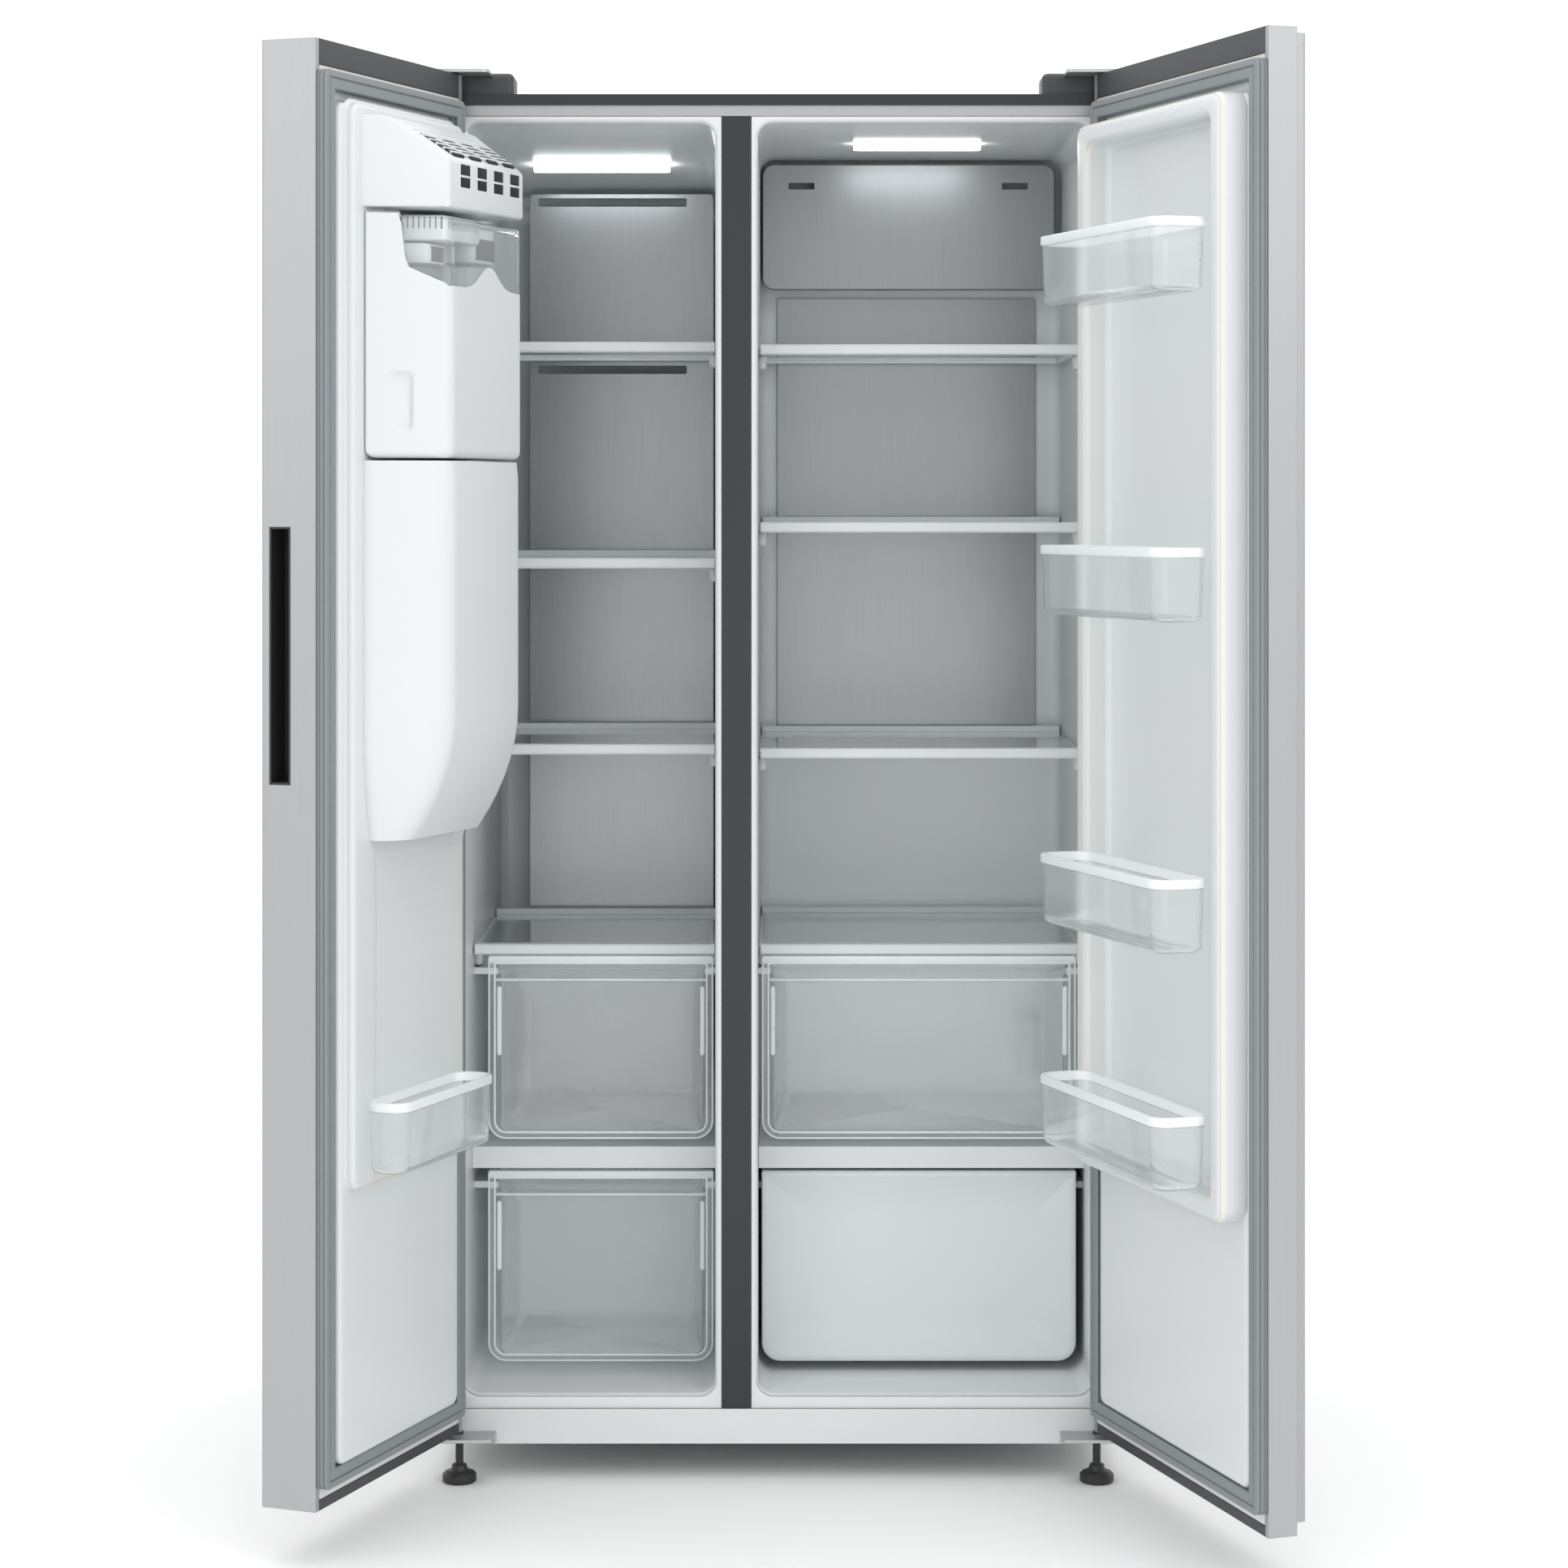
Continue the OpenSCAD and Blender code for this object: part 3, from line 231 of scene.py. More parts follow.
def closed(grid, loop=False):
    """Vertices and faces of a grid whose rows are rings. A looped grid joins its last ring to its
    first; any other grid gets a face over each end. Faces are turned so that the volume, a sixth
    of the sum of a . (b x c) over its triangles, is positive."""
    n, m = grid.shape[:2]
    i = np.arange(n if loop else n - 1)[:, None]
    j = np.arange(m)[None, :]
    k, l = (i + 1) % n, (j + 1) % m
    quads = np.stack([i * m + j, i * m + l, k * m + l, k * m + j], -1).reshape(-1, 4)
    v = grid.reshape(-1, 3)
    a, b, c, d = (v[quads[:, q]] for q in range(4))
    volume = np.einsum("ij,ij->", a, np.cross(b, c)) + np.einsum("ij,ij->", a, np.cross(c, d))
    ends = [] if loop else [np.arange(m)[::-1], np.arange(m) + (n - 1) * m]
    for e in ends:
        hub = v[e[:1]].repeat(m - 2, 0)
        volume += np.einsum("ij,ij->", hub, np.cross(v[e[1:-1]], v[e[2:]]))
    faces = [quads, *(e[None] for e in ends)]
    return v, faces if volume > 0 else [f[:, ::-1] for f in faces]


def lay(grid, order="xyz"):
    """The grid with its axes renamed: order says which way its first, second and third run."""
    out = np.empty_like(grid)
    for at, axis in enumerate(order):
        out[..., "xyz".index(axis)] = grid[..., at]
    return out


def block(x, y, z, radius, edge):
    """A block with round upright corners and softened rims: (inset, height) goes round a quarter
    circle at each rim."""
    line = path(arc((edge, z[0] + edge), edge, 270, 180, 3),
                arc((edge, z[1] - edge), edge, 180, 90, 3))
    return carried((*x, *y), radius, line, 4)


def on_door(body, grid):
    """From a door's own width, depth and height to the row frame: the closed door's axes turned
    about its pin by the angle it stands open. The fridge door is the mirror of the freezer door."""
    hinge = HINGES[body]
    side = 1 if body == "freezer_door" else -1
    a = math.radians(hinge["range_deg"][0])
    u, t, z = np.moveaxis(grid, -1, 0)
    x = hinge["pos_m"][0] / MM + side * (u * math.cos(a) - t * math.sin(a))
    y = hinge["pos_m"][1] / MM + u * math.sin(a) + t * math.cos(a)
    return np.stack([x, y, z], -1)


def in_door(body, points):
    """The way back: from the row frame to the door's own width, depth and height."""
    hinge = HINGES[body]
    side = 1 if body == "freezer_door" else -1
    a = math.radians(hinge["range_deg"][0])
    x = side * (points[:, 0] - hinge["pos_m"][0] / MM)
    y = points[:, 1] - hinge["pos_m"][1] / MM
    u = x * math.cos(a) + y * math.sin(a)
    t = -x * math.sin(a) + y * math.cos(a)
    return np.stack([u, t, points[:, 2]], -1)


def box_mm(node):
    """A CAD node's lowest and highest corner in millimetres."""
    low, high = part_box(node)
    return np.array(low) / MM, np.array(high) / MM


def door_box(node, body):
    """A CAD node's lowest and highest corner along its door's own axes."""
    mesh = frame["nodes"][node].data
    v = np.empty(len(mesh.vertices) * 3, np.float32)
    mesh.vertices.foreach_get("co", v)
    p = in_door(body, v.reshape(-1, 3).astype(float) / MM)
    return p.min(0), p.max(0)


def shelf_heights(name):
    """The undersides of a cavity's glass shelves: the lowest of each group of corners that lies
    well over the one before."""
    apart = 20
    mesh = frame["nodes"][name + "_shelf_glass"].data
    v = np.empty(len(mesh.vertices) * 3, np.float32)
    mesh.vertices.foreach_get("co", v)
    z = np.unique(np.round(v[2::3] / MM, 1))
    return z[np.diff(z, prepend=z[0] - 2 * apart) > apart]


def piece(name, parts, look, body, replaces=()):
    """One object from closed surfaces: vertices in metres, smooth except over sharp edges."""
    sharp, faces, base = math.radians(35), [], 0
    for v, kinds in parts:
        for rows in kinds:
            faces += (rows + base).tolist()
        base += len(v)
    mesh = bpy.data.meshes.new(name)
    mesh.from_pydata((np.concatenate([v for v, _ in parts]) * MM).tolist(), [], faces)
    mesh.shade_smooth()
    mesh.set_sharp_from_angle(angle=sharp)
    mesh.materials.append(finish_named(look))
    obj = bpy.data.objects.new(name, mesh)
    bpy.context.scene.collection.objects.link(obj)
    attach(obj, body)
    if replaces:
        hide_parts(*replaces)
    return obj


# ---- shader groups shared by the finishes ----


def link(tree, *pairs):
    for a, b in pairs:
        tree.links.new(a, b)


def add(tree, kind, **values):
    """A node whose inputs are set by name, with _ for a space; op sets its operation."""
    made = tree.nodes.new(kind)
    if "op" in values:
        made.operation = values.pop("op")
    for name, value in values.items():
        socket = made.inputs[name.replace("_", " ")]
        if isinstance(value, bpy.types.NodeSocket):
            tree.links.new(value, socket)
        else:
            socket.default_value = value
    return made


def maths(tree, op, a, b=0.5, c=0.5, clamp=False):
    made = tree.nodes.new("ShaderNodeMath")
    made.operation, made.use_clamp = op, clamp
    for socket, value in zip(made.inputs, (a, b, c)):
        if isinstance(value, bpy.types.NodeSocket):
            tree.links.new(value, socket)
        else:
            socket.default_value = value
    return made.outputs[0]


def blend(tree, share, a, b):
    """Colour a where share is 0 and colour b where it is 1."""
    made = tree.nodes.new("ShaderNodeMix")
    made.data_type = "RGBA"
    for socket, value in zip((made.inputs[0], made.inputs[6], made.inputs[7]), (share, a, b)):
        if isinstance(value, bpy.types.NodeSocket):
            tree.links.new(value, socket)
        else:
            socket.default_value = value
    return made.outputs[2]


def group(name, inputs, outputs):
    """An empty shader group with named sockets: its tree, its input node and its output node."""
    tree = bpy.data.node_groups.new(name, "ShaderNodeTree")
    for kind, sockets in (("INPUT", inputs), ("OUTPUT", outputs)):
        for label, (sort, value) in sockets.items():
            socket = tree.interface.new_socket(
                name=label, in_out=kind, socket_type=f"NodeSocket{sort}"
            )
            if value is not None:
                socket.default_value = value
    return tree, tree.nodes.new("NodeGroupInput"), tree.nodes.new("NodeGroupOutput")


def edge_group():
    """Softened edges and a painted highlight on them that also stands for wear: the mask is how far
    the rounded normal turns from the flat one, broken up by noise."""
    tree, given, out = group(
        "Edge scuffs and highlight",
        {"Place": ("Vector", None), "Radius": ("Float", 0.001), "Amount": ("Float", 0.5)},
        {"Normal": ("Vector", None), "Wear": ("Float", None)},
    )
    bevel = add(tree, "ShaderNodeBevel", Radius=given.outputs["Radius"])
    bevel.samples = 4
    flat = tree.nodes.new("ShaderNodeNewGeometry")
    dot = tree.nodes.new("ShaderNodeVectorMath")
    dot.operation = "DOT_PRODUCT"
    link(tree, (bevel.outputs[0], dot.inputs[0]), (flat.outputs["Normal"], dot.inputs[1]))
    turned = maths(tree, "MULTIPLY", maths(tree, "SUBTRACT", 1.0, dot.outputs["Value"]), 3.0)
    noise = add(tree, "ShaderNodeTexNoise", Vector=given.outputs["Place"], Scale=90, Detail=3)
    broken = maths(tree, "MULTIPLY", turned, noise.outputs["Fac"])
    wear = maths(tree, "MULTIPLY", broken, given.outputs["Amount"], clamp=True)
    link(tree, (bevel.outputs[0], out.inputs["Normal"]), (wear, out.inputs["Wear"]))
    return tree


def cloud_group():
    """Slow changes over a surface, about 1 on average: 1 + amount * (noise - 1/2), and the same
    about 0 for a roughness to add."""
    tree, given, out = group(
        "Surface clouding",
        {
            "Place": ("Vector", None), "Scale": ("Float", 3.0),
            "Tone": ("Float", 0.08), "Gloss": ("Float", 0.1), "Roughness": ("Float", 0.4),
            "Colour": ("Color", None),
        },
        {"Colour": ("Color", None), "Roughness": ("Float", None)},
    )
    place, scale = given.outputs["Place"], given.outputs["Scale"]
    wide = add(tree, "ShaderNodeTexNoise", Vector=place, Scale=scale, Detail=4, Roughness=0.55)
    close_scale = maths(tree, "MULTIPLY", scale, 9.0)
    close = add(tree, "ShaderNodeTexNoise", Vector=place, Scale=close_scale, Detail=3)
    mixed = maths(tree, "MULTIPLY_ADD", wide.outputs["Fac"], 0.7,
                  maths(tree, "MULTIPLY", close.outputs["Fac"], 0.3))
    swing = maths(tree, "SUBTRACT", mixed, 0.5)
    tone = maths(tree, "MULTIPLY_ADD", swing, given.outputs["Tone"], 1.0)
    tint = tree.nodes.new("ShaderNodeVectorMath")
    tint.operation = "SCALE"
    link(tree, (given.outputs["Colour"], tint.inputs[0]), (tone, tint.inputs["Scale"]),
         (tint.outputs[0], out.inputs["Colour"]))
    gloss = maths(tree, "MULTIPLY", swing, given.outputs["Gloss"])
    link(tree, (maths(tree, "ADD", given.outputs["Roughness"], gloss, clamp=True),
                out.inputs["Roughness"]))
    return tree


def brush_group():
    """Brushed lines: noise on a place stretched along the brushing, as a value from 0 to 1."""
    tree, given, out = group(
        "Brushed lines",
        {"Place": ("Vector", None), "Across": ("Float", 900.0), "Along": ("Vector", None)},
        {"Lines": ("Float", None)},
    )
    stretch = tree.nodes.new("ShaderNodeVectorMath")
    stretch.operation = "MULTIPLY"
    link(tree, (given.outputs["Place"], stretch.inputs[0]),
         (given.outputs["Along"], stretch.inputs[1]))
    fine = add(tree, "ShaderNodeTexNoise", Vector=stretch.outputs[0],
               Scale=given.outputs["Across"], Detail=2)
    link(tree, (fine.outputs["Fac"], out.inputs["Lines"]))
    return tree


def grain_group():
    """Fine moulded or sprayed grain: noise and small cells, as a height."""
    tree, given, out = group(
        "Moulded grain",
        {"Place": ("Vector", None), "Scale": ("Float", 1200.0)},
        {"Height": ("Float", None)},
    )
    place, scale = given.outputs["Place"], given.outputs["Scale"]
    noise = add(tree, "ShaderNodeTexNoise", Vector=place, Scale=scale, Detail=2)
    cells = add(tree, "ShaderNodeTexVoronoi", Vector=place, Scale=scale)
    link(tree, (maths(tree, "MULTIPLY_ADD", cells.outputs["Distance"], 0.4, noise.outputs["Fac"]),
                out.inputs["Height"]))
    return tree


def dust_group():
    """Dust where a surface looks up: the upward part of the normal, cubed, times noise."""
    tree, given, out = group(
        "Settled dust",
        {"Place": ("Vector", None), "Amount": ("Float", 0.1)},
        {"Dust": ("Float", None)},
    )
    normal = tree.nodes.new("ShaderNodeNewGeometry")
    parts = tree.nodes.new("ShaderNodeSeparateXYZ")
    link(tree, (normal.outputs["Normal"], parts.inputs[0]))
    up = maths(tree, "POWER", maths(tree, "MAXIMUM", parts.outputs["Z"], 0.0), 3.0)
    noise = add(tree, "ShaderNodeTexNoise", Vector=given.outputs["Place"], Scale=40, Detail=5)
    spread = maths(tree, "MULTIPLY", maths(tree, "MULTIPLY", up, noise.outputs["Fac"]),
                   given.outputs["Amount"], clamp=True)
    link(tree, (spread, out.inputs["Dust"]))
    return tree


GROUPS = {}


def shared(name):
    """The shader group of that name, built once."""
    if name not in GROUPS:
        makers = {"edge": edge_group, "cloud": cloud_group, "brush": brush_group,
                  "grain": grain_group, "dust": dust_group}
        GROUPS[name] = makers[name]()
    return GROUPS[name]


# ---- finishes ----

# how brushing stretches the noise along each axis, and the colour of dust
STILL = (1.0, 1.0, 1.0)
UPRIGHT = (1.0, 1.0, 0.012)
LEVEL = (0.012, 0.012, 1.0)
DUST = (0.42, 0.41, 0.38, 1.0)


def finish(base, metallic=0.0, rough=0.4, lines=0.0, along=STILL, grain=900.0, bump=0.00002,
           tone=0.06, gloss=0.12, dust=0.05, wear=0.15, scuff_highlight_colour=None, clear=False, **sockets):
    """A finish's values: base colour, metallic, roughness, strength and direction of the brushed
    lines, grain scale, bump depth in metres, swing of tone and of gloss, dust, strength of the edge
    mask and its colour (a painted highlight on edges that also stands for wear), whether light
    passes, and what the shader's own sockets take."""
    return dict(base=base, metallic=metallic, rough=rough, lines=lines, along=along, grain=grain,
                bump=bump, tone=tone, gloss=gloss, dust=dust, wear=wear, scuff_highlight_colour=scuff_highlight_colour, clear=clear,
                sockets=sockets)


def finishes():
    """Every finish by the record's slot name."""
    c = bpy.context.scene.fridge_colours
    metal, back = tuple(c.metal), tuple(c.back)
    return {
        "silver_paint": finish(metal, 0.75, 0.40, 0.05, UPRIGHT, 700, 0.00001, 0.05, 0.10,
                               Coat_Weight=0.15, Coat_Roughness=0.3),
        "foam": finish((0.72, 0.60, 0.33), 0, 0.9, grain=260, bump=0.0004, tone=0.3, wear=0),
        "white_liner": finish(tuple(c.liner), 0, 0.30, grain=600, bump=0.00001, tone=0.03,
                              dust=0.01, wear=0, Specular_IOR_Level=0.45),
        "dark_trim": finish(tuple(c.dark), 0, 0.42, grain=1500, bump=0.00003, tone=0.15,
                            scuff_highlight_colour=(0.10, 0.10, 0.105)),
        "grey_trim": finish(tuple(c.rail), 0, 0.38, grain=1500, bump=0.00002, tone=0.12),
        "light_grey": finish((0.66, 0.68, 0.68), 0, 0.38, grain=900, tone=0.04),
        "galvanised": finish((0.56, 0.57, 0.57), 0.9, 0.42, 0.10, LEVEL, 300, 0.00003, 0.22, 0.25),
        "black_steel": finish((0.025, 0.025, 0.027), 0, 0.32, grain=700, tone=0.2, dust=0.4,
                              wear=0.3, scuff_highlight_colour=(0.12, 0.12, 0.12)),
        "fins": finish((0.52, 0.53, 0.53), 0.9, 0.42, 0.12, UPRIGHT, 500, 0.00002, 0.2, 0.2, 0.2),
        "back_metal": finish(back, 0.8, 0.30, 0.10, UPRIGHT, 500, 0.00001, 0.08, 0.10, 0.0, 0.1),
        "lamp": finish((0.9, 0.92, 0.92), 0, 0.4, tone=0.02, wear=0,
                       Emission_Color=(0.93, 0.97, 1.0, 1.0), Emission_Strength=11.0),
        "shelf_glass": finish((0.93, 0.97, 0.955), 0, 0.02, grain=200, bump=0.000002, tone=0.01,
                              gloss=0.03, dust=0.0, wear=0, clear=True, Transmission_Weight=1.0,
                              IOR=1.50),
        "white_trim": finish(tuple(c.trim), 0, 0.34, grain=900, bump=0.00001, tone=0.03, dust=0.02),
        "clear_plastic": finish((0.95, 0.965, 0.965), 0, 0.07, grain=300, bump=0.000004, tone=0.02,
                                gloss=0.06, dust=0.0, wear=0, clear=True,
                                Transmission_Weight=0.93, IOR=1.35),
        "grey_drawer": finish(tuple(c.drawer), 0, 0.36, grain=900, tone=0.03),
        "black_plastic": finish((0.018, 0.018, 0.02), 0, 0.45, grain=1500, bump=0.00003, tone=0.2,
                                dust=0.12, scuff_highlight_colour=(0.08, 0.08, 0.08)),
        "zinc": finish((0.62, 0.62, 0.60), 1.0, 0.32, 0.08, STILL, 400, 0.00002, 0.2, 0.2),
        "seal_grey": finish(tuple(c.seal), 0, 0.55, grain=1100, bump=0.00003, tone=0.10,
                            scuff_highlight_colour=(0.30, 0.31, 0.32)),
        "valve_blue": finish((0.04, 0.12, 0.42), 0, 0.40, tone=0.10, dust=0.15),
        "panel_black": finish((0.008, 0.008, 0.009), 0, 0.10, grain=300, bump=0.000002, tone=0.1,
                              Coat_Weight=1.0, Coat_Roughness=0.04),
        "tray_blue": finish((0.32, 0.50, 0.62), 0, 0.35, tone=0.06),
        "frosted_rim": finish((0.86, 0.89, 0.90), 0, 0.42, grain=900, tone=0.03, dust=0.02, wear=0,
                              clear=True, Transmission_Weight=0.35, IOR=1.42),
        "deep_shade": finish((0.012, 0.013, 0.014), 0, 0.6, grain=900, tone=0.2, dust=0.02),
        # painted shade: dark grey that stands for the shade inside the ice bucket's slots
        "painted_slot_shade": finish((0.10, 0.105, 0.11), 0, 0.5, grain=900, tone=0.3),
    }


MADE = {}


def place_group(tree, name, place, **values):
    made = tree.nodes.new("ShaderNodeGroup")
    made.node_tree = shared(name)
    link(tree, (place, made.inputs["Place"]))
    for label, value in values.items():
        socket = made.inputs[label]
        if isinstance(value, bpy.types.NodeSocket):
            link(tree, (value, socket))
        else:
            socket.default_value = value
    return made


def finish_named(name):
    """The material for a finish: clouded colour, brushed lines, a painted highlight on edges that
    also stands for wear, and dust on ledges feed the base colour; the same clouding feeds
    roughness; grain and lines feed the bump."""
    if name in MADE:
        return MADE[name]
    f = finishes()[name]
    mat = bpy.data.materials.new(name + "_finish")
    mat.use_nodes = True
    tree = mat.node_tree
    shader = tree.nodes["Principled BSDF"]
    place = tree.nodes.new("ShaderNodeTexCoord").outputs["Object"]
    cloud = place_group(tree, "cloud", place, Scale=4.0, Tone=f["tone"], Gloss=f["gloss"],
                        Roughness=f["rough"], Colour=(*f["base"], 1.0))
    edge = place_group(tree, "edge", place, Radius=sizes().edge_round, Amount=f["wear"])
    tint, height = cloud.outputs["Colour"], None
    if f["lines"]:
        brush = place_group(tree, "brush", place, Along=f["along"])
        dark = tuple(x * (1 - 2.5 * f["lines"]) for x in f["base"])
        share = maths(tree, "MULTIPLY", brush.outputs["Lines"], 0.6)
        tint = blend(tree, share, tint, (*dark, 1.0))
        height = brush.outputs["Lines"]
    # painted highlight, partly wear: edges are lightened towards the edge colour, by default a
    # quarter lighter than the base
    if f["wear"]:
        scuff_highlight_colour = f["scuff_highlight_colour"] or tuple(min(1.0, x * 1.25 + 0.02) for x in f["base"])
        tint = blend(tree, edge.outputs["Wear"], tint, (*scuff_highlight_colour, 1.0))
    if f["dust"]:
        dust = place_group(tree, "dust", place, Amount=f["dust"])
        tint = blend(tree, dust.outputs["Dust"], tint, DUST)
    if height is None:
        height = place_group(tree, "grain", place, Scale=f["grain"]).outputs["Height"]
    bump = add(tree, "ShaderNodeBump", Strength=1.0, Distance=f["bump"], Height=height,
               Normal=edge.outputs["Normal"])
    link(tree, (tint, shader.inputs["Base Color"]),
         (cloud.outputs["Roughness"], shader.inputs["Roughness"]),
         (bump.outputs[0], shader.inputs["Normal"]))
    shader.inputs["Metallic"].default_value = f["metallic"]
    for socket, value in f["sockets"].items():
        shader.inputs[socket.replace("_", " ")].default_value = value
    if f["clear"]:
        rays = tree.nodes.new("ShaderNodeLightPath")
        through = add(tree, "ShaderNodeBsdfTransparent", Color=(0.97, 0.98, 0.98, 1.0))
        lit = tree.nodes.new("ShaderNodeMixShader")
        passing = maths(tree, "MAXIMUM", rays.outputs["Is Shadow Ray"],
                        rays.outputs["Is Diffuse Ray"])
        link(tree, (passing, lit.inputs[0]), (shader.outputs[0], lit.inputs[1]),
             (through.outputs[0], lit.inputs[2]),
             (lit.outputs[0], tree.nodes["Material Output"].inputs["Surface"]))
    mat.diffuse_color = (*f["base"], 1.0)
    MADE[name] = mat
    return mat


# ---- pieces of the cabinet ----


def cavity_shell(node, back, fall):
    """A cavity's liner: rings run forward from its back wall to its flange, and back again a wall
    further out. Each ring is the opening grown by how far it stands out, its floor raised over the
    machine room along two arcs, and its ceiling lowered in proportion to its depth."""
    low, high = box_mm(node)
    wall, bend, flange = sizes().wall / MM, sizes().mouth_round / MM, 8.0
    run, up = MACHINE_ROOM
    x0, x1, ceiling = low[0] + flange, high[0] - flange, high[2] - flange
    skirt = (FLOOR - low[2]) / flange
    mouth = path(arc((bend, FRONT + bend), bend, 180, 270), (flange - 0.8, FRONT + 0.05),
                 (flange, FRONT + 0.8), (flange, FRONT + wall))
    rise = path(arc((FRONT + run - 16, FLOOR + 16), 16, 270, 360),
                arc((FRONT + run + 14, up - 14), 14, 180, 90))[::-1]
    tail = arc((FRONT + back - 14, 14), 14, 360, 270)
    inner = np.concatenate([
        np.stack([-tail[:, 1], tail[:, 0], up + tail[:, 1]], -1),
        np.stack([0 * rise[:, 0], rise[:, 0], rise[:, 1]], -1),
        np.stack([mouth[:, 0], mouth[:, 1], FLOOR - skirt * mouth[:, 0]], -1),
    ])
    outer = inner[: len(tail) + len(rise)] + (wall, wall, -wall)
    outer = np.concatenate([outer, [(wall, FRONT + wall, FLOOR - wall)]])[::-1]
    grown, y, z0 = np.concatenate([inner, outer]).T
    sag = fall * np.clip((y - FRONT) / back, 0, 1)
    radius = np.where(grown > flange - 1, 2.0, 20 + grown.clip(-17))
    stack = np.stack([x0 - grown, x1 + grown, z0, ceiling + grown - sag, radius, y], -1)
    return [closed(lay(rings(stack, 8), "xzy"))]


def drawer(node):
    """A drawer: a tub carried round its rim with a lip and a ledge, a front plate with round lower
    corners, a thick bar along the front's top, and a bead that runs round the front."""
    low, high = box_mm(node)
    wall, r, rim = 3.0, sizes().drawer_round / MM, sizes().lip / MM
    z0, z1, y0 = low[2], high[2], low[1]
    outer = path(arc((12 + 14, z0 + 14), 14, 270, 180), (11.5, z1 - 36), (9, z1 - 34), (9, z1 - 20),
                 (3, z1 - rim), (0.6, z1 - rim + 1.5), arc((1.5, z1 - 1.5), 1.5, 180, 90, 3))
    inner = path((9 + wall, z1 - 0.6), (11 + wall, z1 - rim), (11.5 + wall, z1 - 36),
                 arc((12 + wall + 12, z0 + wall + 12), 12, 180, 270))
    tub = carried((low[0], high[0], y0 + 10, high[1]), r, path(outer, inner))
    plate = path((5, y0 + 9.6), (0.8, y0 + 9.4), (0, y0 + 8), (0, y0 + 3),
                 arc((2.5, y0 + 3), 2.5, 180, 270, 4), (9, y0 + 0.5), (11, y0 + 1.6), (60, y0 + 1.6))
    lower = (1, 0.15, 0.15, 1)
    rect = (low[0] + 0.5, high[0] - 0.5, z0 + 1, z1 - 1)
    face = lay(carried(rect, 24, plate, 8, corners=lower), "xzy")
    bead = path((7.5, y0 + 0.6), (8, y0), (9.5, y0), (10, y0 + 0.6), (9.5, y0 + 1.4), (8, y0 + 1.4))
    ring = closed(lay(carried(rect, 24, bead, 8, corners=lower), "xzy"), loop=True)
    edge = path((0, y0 + 1), (0.8, y0 + 0.1), (2.2, y0 + 0.1), (2.6, y0 + 1.5), (0.5, y0 + 2.4))
    outline = closed(lay(carried(rect, 24, edge, 8, corners=lower), "xzy"), loop=True)
    bars = []
    for top, tall in ((z1, rim), (z1 - 30, 3.0)):
        soft = min(3.5, tall / 2 - 0.2)
        line = path(arc((soft, top - tall + soft), soft, 270, 180, 4),
                    arc((soft, top - soft), soft, 180, 90, 4))
        inset = 0 if tall == rim else 9
        bars.append(closed(carried((low[0] + inset, high[0] - inset, y0, y0 + 12), 4, line, 4)))
    grips = []
    for x in (low[0] + 15, high[0] - 15):
        bar = path((1.5, z1 - 130), (0, z1 - 128), (0, z1 - 42), (1.5, z1 - 40))
        grips.append(closed(carried((x - 3, x + 3, y0 + 0.2, y0 + 4), 1.9, bar, 4)))
    return [closed(tub), closed(face)], [*bars, ring, outline, *grips]


def rounded_box(x, y, z, r, edge):
    """A box with round upright corners whose top edge follows a quarter circle."""
    line = path((0.6, z[0]), (0, z[0] + 0.6), arc((edge, z[1] - edge), edge, 180, 90))
    return closed(carried((*x, *y), r, line))


def dome(x, y, z, r, h):
    """A screw's head: radius r cos a and height h sin a over a short rim."""
    line = path((r, z), arc((0, 0), 1, 0, 86, 6) * (r, h) + (0, z + 0.8))
    v, faces = closed(lathe(line, 24))
    return v + (x, y, 0), faces


# ---- pieces of the doors ----


def seal_loop(body):
    """A door seal: a closed bellows line of (inset, height) carried round the door's inner face."""
    low, high = door_box(body + "_seal", body)
    g, width = sizes().seal_groove / MM, SEAL_WIDTH
    t0, t1 = low[1], high[1]
    line = path((0.3, t0), (0, t0 + 2), (g, t0 + 3.2), (g, t0 + 4.4), (0, t0 + 5.4), (0, t0 + 7.6),
                (g, t0 + 8.6), (g, t0 + 9.6), (0.2, t0 + 10.6), arc((2.0, t1 - 2.0), 2.0, 180, 90, 4),
                (8, t1), (8.8, t1 - g), (9.8, t1 - g), (10.6, t1), (width - 3, t1),
                arc((width - 2, t1 - 2), 2, 90, 0, 4), (width - g, t0 + 8), (width, t0 + 6),
                (width, t0))
    grid = carried((low[0], high[0], low[2], high[2]), 9, line, 6)
    return closed(on_door(body, lay(grid, "xzy")), loop=True)


def form(body, rect, radius, heights):
    """A raised part of a door's inner liner: a wall that rises from the rim and turns over a
    quarter circle onto its flat face."""
    (t0, t1), bend = heights, 6.0
    line = path((-7, t0), arc((-5, t0 + 5.1), 5, 270, 360, 4), (0, t1 - bend),
                arc((bend, t1 - bend), bend, 180, 90), (bend + 12, t1))
    grid = carried(rect, radius, line, 8)
    return closed(on_door(body, lay(grid, "xzy")))


def ridge_frame(body, rect, width, heights):
    """The fridge door's ridge: a closed line with two round shoulders carried round the
    rectangle."""
    t0, t1 = heights
    line = path((0, t0), (0, t1 - 9), arc((9, t1 - 9), 9, 180, 90),
                arc((width - 8, t1 - 8), 8, 90, 0), (width, t0 + 8),
                arc((width + 8, t0 + 8), 8, 180, 270, 5), (width + 8, t0 - 1), (2, t0 - 1))
    grid = carried(rect, 18, line, 9, (1.23, 1.15, 1, 1), least=11)
    return closed(on_door(body, lay(grid, "xzy")), loop=True)


